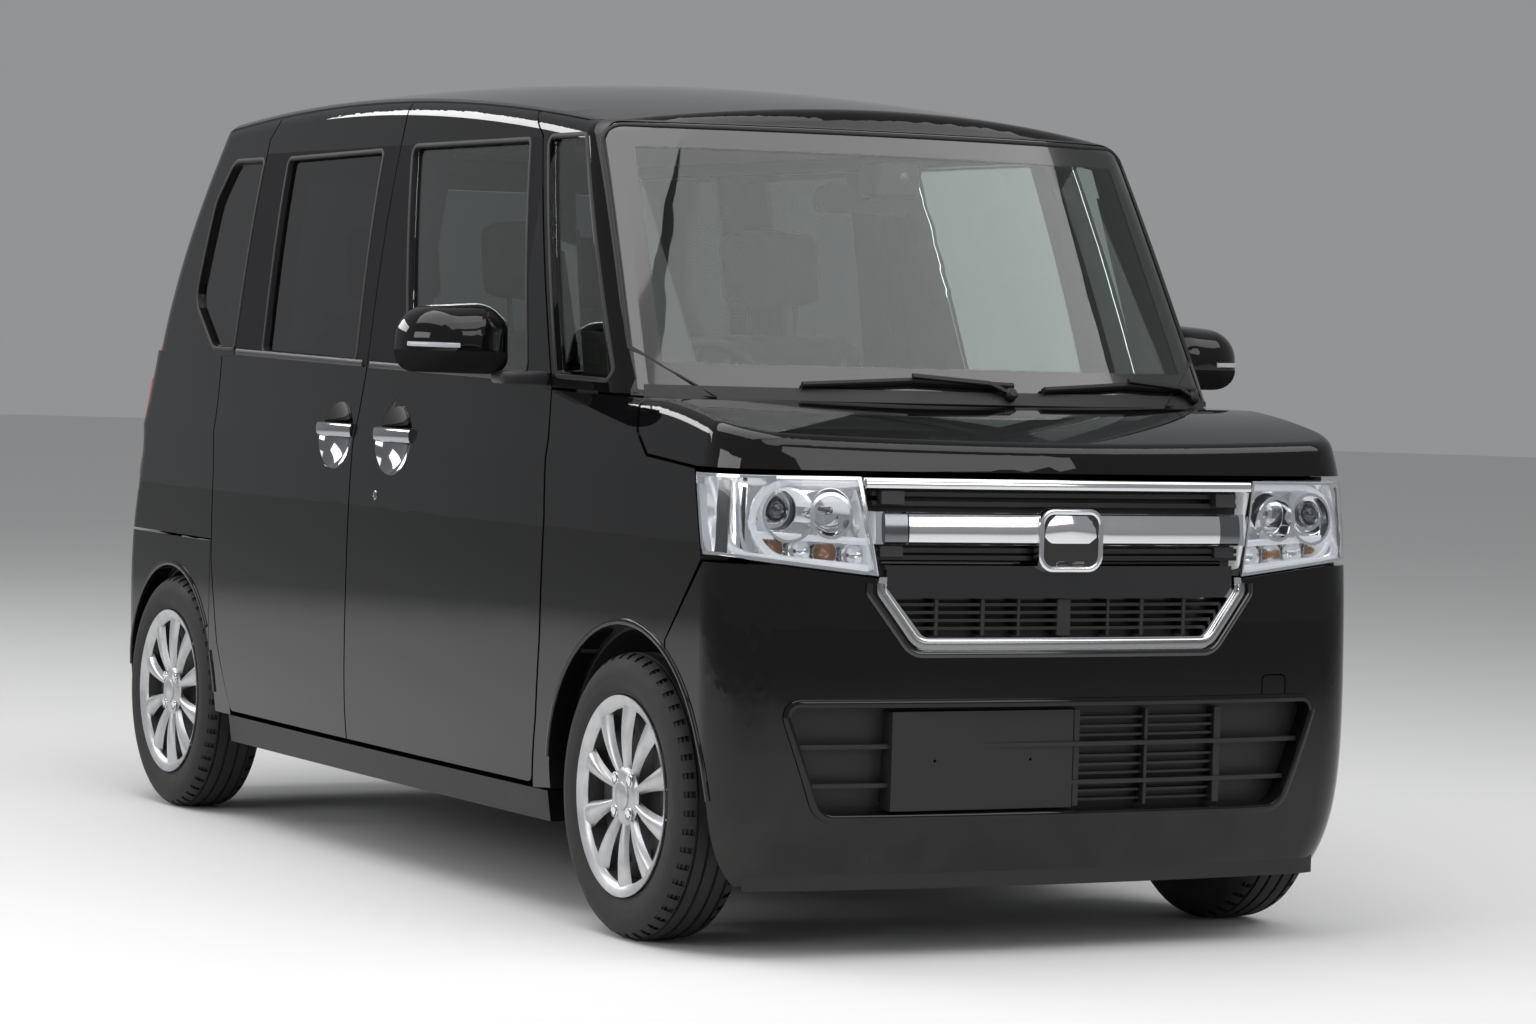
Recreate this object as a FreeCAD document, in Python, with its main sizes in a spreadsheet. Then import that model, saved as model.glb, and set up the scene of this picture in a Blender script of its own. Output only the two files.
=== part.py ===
import FreeCAD, Part
import math
import os
from types import SimpleNamespace

from FreeCAD import Placement, Rotation, Vector

# A kei class tall wagon. +X is forward, +Y is left, +Z is up, all in millimetres.
# The origin is on the ground below the middle of the car.

SIZES = {
    "overall_length": 3395,
    "overall_width": 1475,
    "overall_height": 1735,
    "wheelbase": 2520,
    "front_axle_x": 1243.6,
    "track": 1305,
    "tyre_diameter": 557,
    "tyre_width": 155,
    "tyre_shoulder": 26,
    "bead_diameter": 358,
    "cover_diameter": 392,
    "barrel_wall": 7,
    "hub_diameter": 116,
    "disc_diameter": 232,
    "disc_thickness": 10,
    "spoke_count": 10,
    "crease_height": 916,
    "belt_height": 1072,
    "belt_slope": 0.0175,
    "foot_height": 140,
    "roof_radius": 10300,
    "roof_crown": 3200,
    "roof_edge": 50,
    "roof_peak_x": -450,
    "roof_depth": 36,
    "door_depth": 60,
    "bonnet_depth": 24,
    "bumper_depth": 46,
    "glass_thickness": 4,
    "glass_seat": 0.3,
    "shut_gap": 6,
    "rail_seam_y": 600,
    "rail_seam_z": 1605,
    "arch_front": 332,
    "arch_rear": 304,
    "hinge_x": 808,
    "hinge_y": 713,
    "hinge_low": 400,
    "hinge_high": 700,
    "hinge_pin": 10,
    "pin_clearance": 0.1,
    "bonnet_hinge_x": 1182,
    "bonnet_hinge_z": 1040,
    "tail_hinge_x": -1352,
    "tail_hinge_lip": 60,
    "tail_hinge_z": 1676,
    "floor_height": 270,
    "floor_thickness": 30,
    "load_floor": 520,
    "seat_offset": 325,
    "steering_rim": 360,
    "steering_grip": 27,
    "plate_bolt_pitch": 210,
    "plate_bolt_hole": 6,
}

doc = FreeCAD.newDocument("KeiCar")
sheet = doc.addObject("Spreadsheet::Sheet", "Sizes")
for row, (alias, value) in enumerate(SIZES.items(), start=1):
    sheet.set(f"A{row}", alias)
    sheet.set(f"B{row}", str(value))
    sheet.setAlias(f"B{row}", alias)
doc.recompute()
car = SimpleNamespace(**{alias: float(sheet.get(alias)) for alias in SIZES})

# Places that follow from the sizes
half_length = car.overall_length / 2
half_width = car.overall_width / 2
hub_height = car.tyre_diameter / 2
rear_axle_x = car.front_axle_x - car.wheelbase
half_track = car.track / 2
gap = car.shut_gap / 2
seat_gap = car.glass_seat
X_AXIS, Y_AXIS, Z_AXIS = Vector(1, 0, 0), Vector(0, 1, 0), Vector(0, 0, 1)
FAR = 2600

pieces = {}


def keep(name, obj):
    obj.Label = name
    pieces[name] = obj
    return obj


def feature(name, shape):
    """A piece whose form is worked out from the sizes by Part's own functions."""
    obj = doc.addObject("Part::Feature", name)
    obj.Shape = shape
    return keep(name, obj)


def bind(obj, **formulas):
    for prop, formula in formulas.items():
        obj.setExpression(prop, formula)
    return obj


def place(obj, x="0", y="0", z="0", turn=None):
    """Put a primitive at formulas of the sheet, turned about an axis."""
    if turn:
        axis, angle = turn
        obj.Placement = Placement(Vector(), Rotation(axis, angle))
    for letter, formula in (("x", x), ("y", y), ("z", z)):
        obj.setExpression("Placement.Base." + letter, formula)
    return obj


def primitive(kind, name, x="0", y="0", z="0", turn=None, **formulas):
    obj = doc.addObject("Part::" + kind, name)
    bind(obj, **formulas)
    return place(obj, x, y, z, turn)


def join(name, *objects):
    obj = doc.addObject("Part::MultiFuse", name)
    obj.Shapes = list(objects)
    return obj


def mirrored(shape):
    return shape.mirror(Vector(), Y_AXIS)


def block(x0, x1, y0, y1, z0, z1):
    return Part.makeBox(x1 - x0, y1 - y0, z1 - z0, Vector(x0, y0, z0))


def rod(start, end, radius):
    start, end = Vector(*start), Vector(*end)
    return Part.makeCylinder(radius, start.distanceToPoint(end), start, end.sub(start))


def fuse(shapes):
    shapes = list(shapes)
    return shapes[0].fuse(shapes[1:]) if len(shapes) > 1 else shapes[0]


def rounded_block(x0, x1, y0, y1, z0, z1, radius):
    shape = block(x0, x1, y0, y1, z0, z1)
    return shape.makeFillet(radius, shape.Edges)


# Flat outlines and the prisms made from them

def rounded_wire(corners, lift):
    """A closed outline; a corner is (u, v) or (u, v, radius); lift maps (u, v) to space."""
    count = len(corners)
    runs = []
    for index in range(count):
        before, here, after = (Vector(*corners[(index + step) % count][:2], 0) for step in (-1, 0, 1))
        radius = corners[index][2] if len(corners[index]) > 2 else 0
        if not radius:
            runs.append((here, None, here))
            continue
        back = before.sub(here).normalize()
        on = after.sub(here).normalize()
        half_turn = back.getAngle(on) / 2
        reach = radius / math.tan(half_turn)
        inward = (back + on).normalize()
        centre = here + inward * (radius / math.sin(half_turn))
        runs.append((here + back * reach, centre - inward * radius, here + on * reach))
    edges = []
    for index, (start, middle, end) in enumerate(runs):
        if middle is not None:
            edges.append(Part.Arc(lift(start), lift(middle), lift(end)).toShape())
        following = runs[(index + 1) % count][0]
        if end.distanceToPoint(following) > 1e-6:
            edges.append(Part.makeLine(lift(end), lift(following)))
    return Part.Wire(edges)


def side_prism(corners, y0, y1):
    wire = rounded_wire(corners, lambda p: Vector(p.x, y0, p.y))
    return Part.Face(wire).extrude(Vector(0, y1 - y0, 0))


def front_prism(corners, x0, x1):
    wire = rounded_wire(corners, lambda p: Vector(x0, p.x, p.y))
    return Part.Face(wire).extrude(Vector(x1 - x0, 0, 0))


def left_prism(corners):
    return side_prism(corners, 5, half_width + 50)


def both_sides(corners):
    """A front outline for the left half together with its mirror image."""
    return corners + [(-p[0],) + tuple(p[1:]) for p in reversed(corners)]


# The skin: horizontal sections of arcs, standing in from the car's overall box.
# Columns: height, in from the side, in from the nose, in from the tail, nose corner, tail corner

LOWER = [
    (car.foot_height, 42, 60, 40, 100, 90),
    (250, 13, 14, 2, 105, 95),
    (420, 1, 0, 0, 108, 100),
    (600, 0, 2, 1, 110, 100),
    (760, 2, 8, 32, 112, 100),
    (car.crease_height, 9, 22, 38, 115, 105),
]
SHOULDER = [
    LOWER[-1],
    ((car.crease_height + car.belt_height) / 2, 24, 36, 42, 118, 110),
    (car.belt_height, 37, 70, 50, 120, 120),
]
CABIN = [
    (car.belt_height, 37, 417, 50, 90, 120),
    (car.belt_height + 178, 57, 532, 85, 90, 130),
    (car.belt_height + 378, 85, 648, 185, 90, 130),
    (car.belt_height + 528, 112, 735, 275, 90, 130),
    (car.belt_height + 728, 155, 850, 370, 90, 130),
]
NOSE_BOW, TAIL_BOW, SIDE_BOW = 5000, 5000, 60000
GLASS_BOW, HATCH_BOW = 1600, 3000
NOSE_START = 1160
BONNET_EDGE = 34
BONNET_LINE = [(1150, 1056), (1440, 1032), (1700, 968)]


def corner_arc(end_centre, end_bow, side_centre, side_bow, radius, sense):
    """The arc that rounds an end into a side: its two ends and its middle."""
    reach_end, reach_side = end_bow - radius, side_bow - radius
    across = side_centre.sub(end_centre)
    apart = across.Length
    along = (reach_end ** 2 - reach_side ** 2 + apart ** 2) / (2 * apart)
    off = math.sqrt(reach_end ** 2 - along ** 2)
    direction = across * (1 / apart)
    normal = Vector(-direction.y, direction.x, 0)
    choices = [end_centre + direction * along + normal * off * way for way in (1, -1)]
    centre = max(choices, key=lambda p: p.x * sense)
    on_end = end_centre + centre.sub(end_centre).normalize() * end_bow
    on_side = side_centre + centre.sub(side_centre).normalize() * side_bow
    middle = centre + ((on_end + on_side) * 0.5).sub(centre).normalize() * radius
    return on_end, middle, on_side


def section(row, inset, end_bows, slope=0):
    height, side_in, nose_in, tail_in, nose_radius, tail_radius = row
    nose = half_length - nose_in - inset
    tail = -half_length + tail_in + inset
    side = half_width - side_in - inset
    nose_bow, tail_bow = end_bows
    side_centre = Vector(0, side - SIDE_BOW, 0)
    nose_end, nose_mid, nose_side = corner_arc(Vector(nose - nose_bow, 0, 0), nose_bow, side_centre,
                                               SIDE_BOW, max(nose_radius - inset, 8), 1)
    tail_end, tail_mid, tail_side = corner_arc(Vector(tail + tail_bow, 0, 0), tail_bow, side_centre,
                                               SIDE_BOW, max(tail_radius - inset, 8), -1)
    half = [
        (nose_end, nose_mid, nose_side),
        (nose_side, Vector(0, side, 0), tail_side),
        (tail_side, tail_mid, tail_end),
    ]

    def flip(p):
        return Vector(p.x, -p.y, 0)

    arcs = [(flip(nose_end), Vector(nose, 0, 0), nose_end)] + half
    arcs.append((tail_end, Vector(tail, 0, 0), flip(tail_end)))
    arcs += [tuple(flip(p) for p in reversed(arc)) for arc in reversed(half)]
    wire = Part.Wire([Part.Arc(*arc).toShape() for arc in arcs])
    if slope:
        wire.rotate(Vector(), Y_AXIS, math.degrees(math.atan(slope)))
    wire.translate(Vector(0, 0, height))
    return wire


def skin_loft(rows, inset, end_bows, sloped):
    wires = [section(row, inset, end_bows, car.belt_slope if row[0] == sloped else 0) for row in rows]
    return Part.makeLoft(wires, True, False)


def roof_cutter(drop):
    """Everything above the crowned roof, less a drop."""
    peak = car.overall_height - drop

    def on_roof(x):
        fall = car.roof_radius - math.sqrt(car.roof_radius ** 2 - (x - car.roof_peak_x) ** 2)
        return Vector(x, 0, peak - fall)

    ends = (half_length, -half_length)
    front, rear = on_roof(ends[0]), on_roof(ends[1])
    above = [Vector(x, 0, peak + 400) for x in ends]
    outline = [
        Part.Arc(front, on_roof(car.roof_peak_x), rear).toShape(),
        Part.makeLine(rear, above[1]),
        Part.makeLine(above[1], above[0]),
        Part.makeLine(above[0], front),
    ]
    face = Part.Face(Part.Wire(outline))
    pivot = Vector(0, 0, peak - car.roof_crown)
    face.rotate(pivot, X_AXIS, -20)
    return face.revolve(pivot, X_AXIS, 40)


def bonnet_cutter(drop):
    start, middle, end = (Vector(x, -half_width - 50, z - drop) for x, z in BONNET_LINE)
    lids = [Vector(v.x, v.y, 1300) for v in (end, start)]
    outline = [
        Part.Arc(start, middle, end).toShape(),
        Part.makeLine(end, lids[0]),
        Part.makeLine(lids[0], lids[1]),
        Part.makeLine(lids[1], start),
    ]
    return Part.Face(Part.Wire(outline)).extrude(Vector(0, 2 * half_width + 100, 0))


def rounded_top(shape, radius, skip_rear):
    """Round the edges of the highest face."""
    top = max(shape.Faces, key=lambda face: face.CenterOfMass.z)
    rear = min(edge.CenterOfMass.x for edge in top.Edges)
    edges = [e for e in top.Edges if not (skip_rear and e.CenterOfMass.x < rear + 1)]
    return shape.makeFillet(radius, edges)


forms = {}


def form(part, inset):
    """One storey of the car's outer form, brought in by an inset and open below when it is inset."""
    if (part, inset) in forms:
        return forms[part, inset]
    ahead = block(NOSE_START, FAR, -FAR, FAR, 0, FAR)
    if part == "lower":
        foot = (LOWER[0][0] - (60 if inset else 0),) + LOWER[0][1:]
        shape = skin_loft([foot] + LOWER[1:], inset, (NOSE_BOW, TAIL_BOW), None)
    elif part == "cabin":
        shape = skin_loft(CABIN, inset, (GLASS_BOW, HATCH_BOW), car.belt_height)
        shape = rounded_top(shape.cut(roof_cutter(inset)), max(car.roof_edge - inset, 5), False)
    else:
        shape = skin_loft(SHOULDER, inset, (NOSE_BOW, TAIL_BOW), car.belt_height)
        if part == "nose":
            shape = shape.common(ahead).cut(bonnet_cutter(inset))
            shape = rounded_top(shape, max(BONNET_EDGE - inset, 5), True)
        else:
            shape = shape.cut(ahead)
    forms[part, inset] = shape
    return shape


ALL = ("lower", "shoulder", "nose", "cabin")
SIDES = ("lower", "shoulder", "cabin")


def hull(inset, *parts):
    """The chosen storeys together, or the whole car."""
    key = (parts or ALL, inset)
    if key not in forms:
        forms[key] = fuse(form(part, inset) for part in key[0])
    return forms[key]


def shell(outer, inner, *parts):
    """The skin between two insets."""
    key = (outer, inner, parts)
    if key not in forms:
        forms[key] = hull(outer, *parts).cut(hull(inner, *parts))
    return forms[key]


def belt_at(x):
    """Height of the belt line below the side windows."""
    return car.belt_height - car.belt_slope * x


# Shut lines on the car's side, seen from the side as (x, z)

DOOR_FRONT = [(598, 1575), (818, 1062), (850, 960), (868, 800), (868, 560), (856, 400), (827, 262)]
SPLIT_X = -140
SPLIT = [(SPLIT_X, 1700), (SPLIT_X, 262)]
SLIDE_REAR = [(-962, 1605), (-972, 1096), (-1054, 1090), (-1003, 823), (-994, 610), (-945, 420), (-868, 275)]
DOOR_FOOT = 262
RAIL_FRONT = (505, 1640)
RAIL_TOP = 1700
RAIL_REAR_X = -925
QUARTER_SEAM_Z = 1095


def shifted(points, dx):
    return [(p[0] + dx,) + tuple(p[1:]) for p in points]


HINGE_LEVELS = (car.hinge_low, car.hinge_high)
KNUCKLE_TALL = 44
KNUCKLE_RADIUS = 9.5
NOTCH_BACK = 18
NOTCH_OUT = KNUCKLE_RADIUS + 2
NOTCH_GAP = 6
SWING_ROOM = 1.8


def front_door_outline(ease):
    """The front door's edge, drawn in by an ease on every side."""
    front = shifted([(RAIL_FRONT[0] - 30, RAIL_TOP), RAIL_FRONT] + DOOR_FRONT, -ease - SWING_ROOM)
    return front[:-1] + [(DOOR_FRONT[-1][0] - ease, DOOR_FOOT + ease, 20), (SPLIT_X + ease, DOOR_FOOT + ease),
                         (SPLIT_X + ease, RAIL_TOP)]


def sliding_door_outline(ease):
    rear = shifted(SLIDE_REAR, ease)
    foot = DOOR_FOOT + ease
    top = [(SPLIT_X - ease, RAIL_TOP), (SPLIT_X - ease, foot), (SLIDE_REAR[-1][0] + ease, foot, 20)]
    return top + list(reversed(rear[:-1])) + [(RAIL_REAR_X + ease, 1640), (RAIL_REAR_X + ease, RAIL_TOP)]


# Windows, seen from the side as (x, z, corner radius)

CORNER_WINDOW = [(836, 1090, 8), (1074, 1085, 12), (798, 1566, 10), (636, 1566, 10)]
FRONT_WINDOW = [(92, 1091, 12), (690, 1082, 20), (538, 1562, 12), (-62, 1562, 12)]
SLIDE_WINDOW = [(-781, 1110, 12), (-213, 1100, 12), (-236, 1556, 12), (-804, 1550, 12)]
QUARTER_WINDOW = [(-984, 1115, 10), (-1120, 1115, 60), (-1290, 1225, 60), (-1248, 1460, 90), (-1170, 1552, 60),
                  (-976, 1552, 10)]


def window_prism(corners, ease=0):
    wire = rounded_wire(corners, lambda p: Vector(p.x, 300, p.y))
    if ease:
        wire = wire.makeOffset2D(-ease)
    return Part.Face(wire).extrude(Vector(0, half_width, 0))


roof_zone = block(-FAR, FAR, -car.rail_seam_y - gap, car.rail_seam_y + gap, car.rail_seam_z - gap, FAR)
roof_zone = roof_zone.fuse(block(-FAR, FAR, -545, 545, car.rail_seam_z - 120, FAR))
door_skin = shell(0, car.door_depth, *SIDES).cut(roof_zone)


def pane(corners):
    """A pane of side glass a little inboard of its frame."""
    depth = 10
    return shell(depth, depth + car.glass_thickness, "cabin").common(window_prism(corners, car.glass_seat))


# Front doors, each with two hinge pins standing in notches at its front edge


RECESS_BALL = 66
RECESS_STAND_OFF = 38


def handle_recess(x, z):
    """A round bowl in the door's skin."""
    return Part.makeSphere(RECESS_BALL, Vector(x, half_width - 7 + RECESS_STAND_OFF, z))


def handle_bar(x, z):
    """A grip across the recess, carried at its ends."""
    outer = half_width - 9
    bar = rounded_block(x - 62, x + 62, outer - 22, outer, z - 11, z + 11, 6)
    feet = [block(x + side * 54 - 8, x + side * 54 + 8, outer - 40, outer - 12, z - 8, z + 8) for side in (-1, 1)]
    return fuse([bar] + feet)


SILL_INNER_Y = 560
SILL_OUTER_Y = 634
PILLAR_Z = 1040
HANDLE_FRONT = (81, 940)
HANDLE_REAR = (-248, 942)


def front_door():
    door = door_skin.common(left_prism(front_door_outline(gap)))
    door = door.cut(window_prism(FRONT_WINDOW))
    door = door.cut(handle_recess(*HANDLE_FRONT))
    for level in HINGE_LEVELS:
        low = level - KNUCKLE_TALL / 2 - NOTCH_GAP
        high = level + KNUCKLE_TALL / 2 + NOTCH_GAP
        notch = block(car.hinge_x - NOTCH_BACK, FAR, 300, car.hinge_y + NOTCH_OUT, low, high)
        pin = rod((car.hinge_x, car.hinge_y, low - 3), (car.hinge_x, car.hinge_y, high + 3), car.hinge_pin / 2)
        door = door.cut(notch).fuse(pin)
    return door.fuse(handle_bar(*HANDLE_FRONT))


def sliding_door():
    door = door_skin.common(left_prism(sliding_door_outline(gap)))
    door = door.cut(window_prism(SLIDE_WINDOW)).cut(handle_recess(*HANDLE_REAR))
    roller = block(-300, -240, SILL_OUTER_Y + car.glass_seat, FAR, 292, 312)
    roller = roller.common(hull(car.door_depth, "lower"))
    return door.fuse([handle_bar(*HANDLE_REAR), roller])


for side_name, turn_over in (("left", False), ("right", True)):
    for name, make in (("front_door_", front_door), ("sliding_door_", sliding_door)):
        shape = make()
        feature(name + side_name, mirrored(shape) if turn_over else shape)
    glass = pane(FRONT_WINDOW)
    feature("front_door_glass_" + side_name, mirrored(glass) if turn_over else glass)

panes = [pane(corners) for corners in (CORNER_WINDOW, SLIDE_WINDOW, QUARTER_WINDOW)]
feature("side_glass", Part.makeCompound(panes + [mirrored(p) for p in panes]))

# Wheel arches

ARCH_INNER_Y = 405


def arch(axle_x, radius, y0, y1):
    """The round of an arch, open downwards."""
    round_part = rod((axle_x, y0, hub_height), (axle_x, y1, hub_height), radius)
    return round_part.fuse(block(axle_x - radius, axle_x + radius, y0, y1, 0, hub_height))


arches = {
    car.front_axle_x: car.arch_front,
    rear_axle_x: car.arch_rear,
}
arch_voids = fuse(arch(x, r, way * ARCH_INNER_Y, way * (half_width + 60)) if way > 0 else
                  arch(x, r, -half_width - 60, -ARCH_INNER_Y) for x, r in arches.items() for way in (1, -1))

# Front pillars, fenders and quarter panels

SCREEN_TOP = 1600
SCREEN_FOOT = 1056
SCREEN_HALF_FOOT, SCREEN_HALF_TOP = 656, 604
SURROUND = 11
SURROUND_FOOT = 1040
SURROUND_REAR = [(1125, 1040), (1118, 1085), (828, 1566), (806, 1603)]
BUMPER_SEAM_FRONT = [(1412, 593), (1550, 753)]
LAMP_REAR = [(1498, 925), (1545, 762)]
BONNET_SIDE = [(1208, 1060), (1232, 985), (1290, 941), (1498, 925)]
SILL_TOP = 252
SILL_FOOT = 190


def screen_outline(ease):
    half = [(SCREEN_HALF_FOOT - ease, SCREEN_FOOT + ease, 12), (SCREEN_HALF_TOP - ease, SCREEN_TOP - ease, 40)]
    return both_sides(half)


def ahead_of_pillar(ease):
    """What lies ahead of the rear edge of the windscreen's frame, seen from the side."""
    corners = shifted(SURROUND_REAR, ease) + [(1500, SCREEN_TOP + gap), (1500, SURROUND_FOOT)]
    return side_prism(corners, -FAR, FAR)


def surround_zone(ease):
    """What the windscreen's frame fills, seen from the front."""
    half = [(SCREEN_HALF_FOOT + SURROUND + ease, SURROUND_FOOT), (SCREEN_HALF_FOOT + SURROUND + ease, SCREEN_FOOT),
            (SCREEN_HALF_TOP + SURROUND + ease, SCREEN_TOP + gap)]
    return front_prism(both_sides(half), 500, 1500).common(ahead_of_pillar(0))


def front_pillar():
    """The slim pillars on both sides of the corner window, with the roof rail above it."""
    door_line = shifted([(RAIL_FRONT[0] - 30, RAIL_TOP), RAIL_FRONT] + DOOR_FRONT[:1], gap)
    foot = [(x, belt_at(x) + gap) for x in (DOOR_FRONT[1][0] + gap, 1500)]
    outline = door_line + foot + [(1500, RAIL_TOP)]
    panel = door_skin.common(left_prism(outline)).cut(window_prism(CORNER_WINDOW))
    return panel.cut(surround_zone(seat_gap))


FENDER_CREST_Y = 645


def fender():
    """The panel round the front wheel, up to the bonnet's side line."""
    crest = shell(0, car.bonnet_depth, "nose").common(block(NOSE_START, FAR, FENDER_CREST_Y, FAR, 0, FAR))
    door_line = shifted(DOOR_FRONT[1:], gap)
    lamp_and_bumper = [(LAMP_REAR[0][0] - gap, LAMP_REAR[0][1] - gap), (LAMP_REAR[1][0] - gap, LAMP_REAR[1][1]),
                       (BUMPER_SEAM_FRONT[1][0] - 8, BUMPER_SEAM_FRONT[1][1]),
                       (BUMPER_SEAM_FRONT[0][0] - gap, BUMPER_SEAM_FRONT[0][1]),
                       (BUMPER_SEAM_FRONT[0][0] - gap, 300), (DOOR_FRONT[-1][0] + gap, SILL_TOP + gap)]
    bonnet_line = [(x - gap, z - gap) for x, z in BONNET_SIDE[:3]]
    top = [(x, belt_at(x) - gap) for x in (DOOR_FRONT[1][0] + gap, BONNET_SIDE[0][0] - gap)]
    outline = top + bonnet_line[1:] + lamp_and_bumper + list(reversed(door_line[1:-1]))
    skin = door_skin.fuse(crest).common(left_prism(outline))
    return skin.cut(arch_voids)


REAR_SEAM_Z = 658
STRIP_X = -1001
LAMP_FRONT_X = -1546
LAMP_LEVELS = (752, 1214)
HATCH_HALF = 572
HATCH_TOP_X = car.tail_hinge_x + car.tail_hinge_lip


def quarter_panel():
    door_line = shifted(SLIDE_REAR, -gap)
    outline = [(RAIL_REAR_X - gap, RAIL_TOP), (RAIL_REAR_X - gap, 1640)] + door_line
    outline += [(SLIDE_REAR[-1][0] - gap, SILL_TOP + gap), (STRIP_X, SILL_TOP + gap), (STRIP_X, REAR_SEAM_Z + gap),
                (-FAR, REAR_SEAM_Z + gap), (-FAR, RAIL_TOP)]
    panel = door_skin.common(left_prism(outline)).cut(window_prism(QUARTER_WINDOW)).cut(arch_voids)
    hatch_void = block(-FAR, -1000, -HATCH_HALF - gap, HATCH_HALF + gap, 0, FAR)
    lamp_void = block(-FAR, LAMP_FRONT_X, 300, half_width + 50, LAMP_LEVELS[0], LAMP_LEVELS[1])
    return panel.cut(hatch_void).cut(lamp_void)


for name, make in (("front_pillar_", front_pillar), ("fender_", fender), ("quarter_panel_", quarter_panel)):
    shape = make()
    feature(name + "left", shape)
    feature(name + "right", mirrored(shape))

# Roof, windscreen, bonnet and tailgate

HATCH_PIN = 10
HATCH_LUG_Y = 250
HATCH_LUG_HALF = 15
RAIL_LEVELS = (1560, 1600)
BOWS = [(480, 560), (-215, -85), (-1240, -1160)]
HATCH_GAP = car.shut_gap + 2


def roof_panel():
    """The crowned roof, the bows below it and the two lugs that carry the tailgate."""
    zone = block(HATCH_TOP_X + HATCH_GAP, FAR, -car.rail_seam_y + gap, car.rail_seam_y - gap, SCREEN_TOP + gap, FAR)
    panel = shell(0, car.roof_depth, "cabin").common(zone)
    bows = [block(x0, x1, -530, 530, RAIL_LEVELS[1], FAR).common(hull(car.roof_depth - 4, "cabin")) for x0, x1 in BOWS]
    x, z = car.tail_hinge_x, car.tail_hinge_z
    bore = rod((x, -FAR, z), (x, FAR, z), (HATCH_PIN + car.pin_clearance) / 2)
    lugs = []
    for way in (1, -1):
        y0, y1 = way * HATCH_LUG_Y - HATCH_LUG_HALF, way * HATCH_LUG_Y + HATCH_LUG_HALF
        lug = rod((x, y0, z), (x, y1, z), 9).fuse(block(x, HATCH_TOP_X + 30, y0, y1, z - 9, z + 5))
        lugs.append(lug.cut(bore))
    return fuse([panel] + bows + lugs)


def windscreen():
    pane = shell(2, 2 + car.glass_thickness, "cabin").common(front_prism(screen_outline(seat_gap), 500, 1500))
    return pane.common(ahead_of_pillar(seat_gap))


def screen_surround():
    """The dark frame that carries the windscreen between the pillars."""
    ring = shell(0, 24, "cabin").common(surround_zone(0))
    return ring.cut(front_prism(screen_outline(0), 400, 1600))


def bonnet_region(ease):
    side = [(BONNET_SIDE[0][0] + ease, 1200), (BONNET_SIDE[0][0] + ease, BONNET_SIDE[0][1])]
    side += [(x + ease, z + ease) for x, z in BONNET_SIDE[1:3]]
    side += [(1498, 925 + ease), (FAR, 918 + ease), (FAR, 1200)]
    return side_prism(side, -FAR, FAR)


COWL_BOW = 1290
BONNET_PIN = 10


def cowl_cut(ease):
    """What lies behind the bonnet's curved rear edge."""
    return Part.makeCylinder(COWL_BOW + ease, 400, Vector(1332 - COWL_BOW, 0, 900))


def bonnet():
    lid = shell(0, car.bonnet_depth, "nose").common(bonnet_region(gap))
    lid = lid.cut(cowl_cut(gap).cut(block(-FAR, FAR, -FAR, FAR, 0, 1000)))
    x, z = car.bonnet_hinge_x, car.bonnet_hinge_z
    for way in (1, -1):
        arm = block(x - 10, x + 70, way * 626 - 6, way * 626 + 6, z - 28, z + 6).common(hull(4, "shoulder", "nose"))
        pin = rod((x, way * 580, z), (x, way * 622, z), BONNET_PIN / 2)
        lid = lid.fuse([arm, pin])
    return lid


feature("roof_panel", roof_panel())
feature("windscreen", windscreen())
feature("screen_surround", screen_surround())
feature("bonnet", bonnet())

HATCH_FOOT = 640


def plate_hole(face_x, y, z):
    return rod((face_x - 20, y, z), (face_x + 20, y, z), car.plate_bolt_hole / 2)


REAR_WINDOW = [(0, 1110), (500, 1110, 30), (470, 1520, 40), (0, 1520)]


def hatch_outline(ease):
    half = HATCH_HALF - ease
    return [(half, HATCH_FOOT + ease, 30), (half, RAIL_TOP + 60), (-half, RAIL_TOP + 60), (-half, HATCH_FOOT + ease, 30)]


PLATE_FACE_X = -1636
PLATE_Z = 860


def tailgate():
    """The gate with its window, plate recess, and pins in notches at its upper edge."""
    gate = shell(0, car.door_depth, *SIDES).common(front_prism(hatch_outline(gap), -FAR, HATCH_TOP_X))
    opening = front_prism([p for p in both_sides(REAR_WINDOW) if p[0] != 0], -FAR, -1200)
    gate = gate.cut(opening.common(block(-FAR, FAR, -FAR, FAR, 0, 1580)))
    gate = gate.cut(block(-FAR, PLATE_FACE_X, -175, 175, PLATE_Z - 90, PLATE_Z + 90))
    x, z = car.tail_hinge_x, car.tail_hinge_z
    for way in (1, -1):
        gate = gate.cut(plate_hole(PLATE_FACE_X, way * car.plate_bolt_pitch / 2, PLATE_Z))
        y0, y1 = way * HATCH_LUG_Y - HATCH_LUG_HALF - 6, way * HATCH_LUG_Y + HATCH_LUG_HALF + 6
        pin = rod((x, y0 - 4, z), (x, y1 + 4, z), HATCH_PIN / 2)
        gate = gate.cut(block(x - 16, FAR, y0, y1, z - 80, FAR)).fuse(pin)
    return gate


def tailgate_glass():
    half = [(p[0] - car.glass_seat, p[1] + (car.glass_seat if p[1] < 1200 else -car.glass_seat), p[2])
            for p in REAR_WINDOW[1:3]]
    return shell(4, 4 + car.glass_thickness, "cabin").common(front_prism(both_sides(half), -FAR, -1200))


feature("tailgate", tailgate())
feature("tailgate_glass", tailgate_glass())

# Bumpers, grille, trim and lamps

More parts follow.
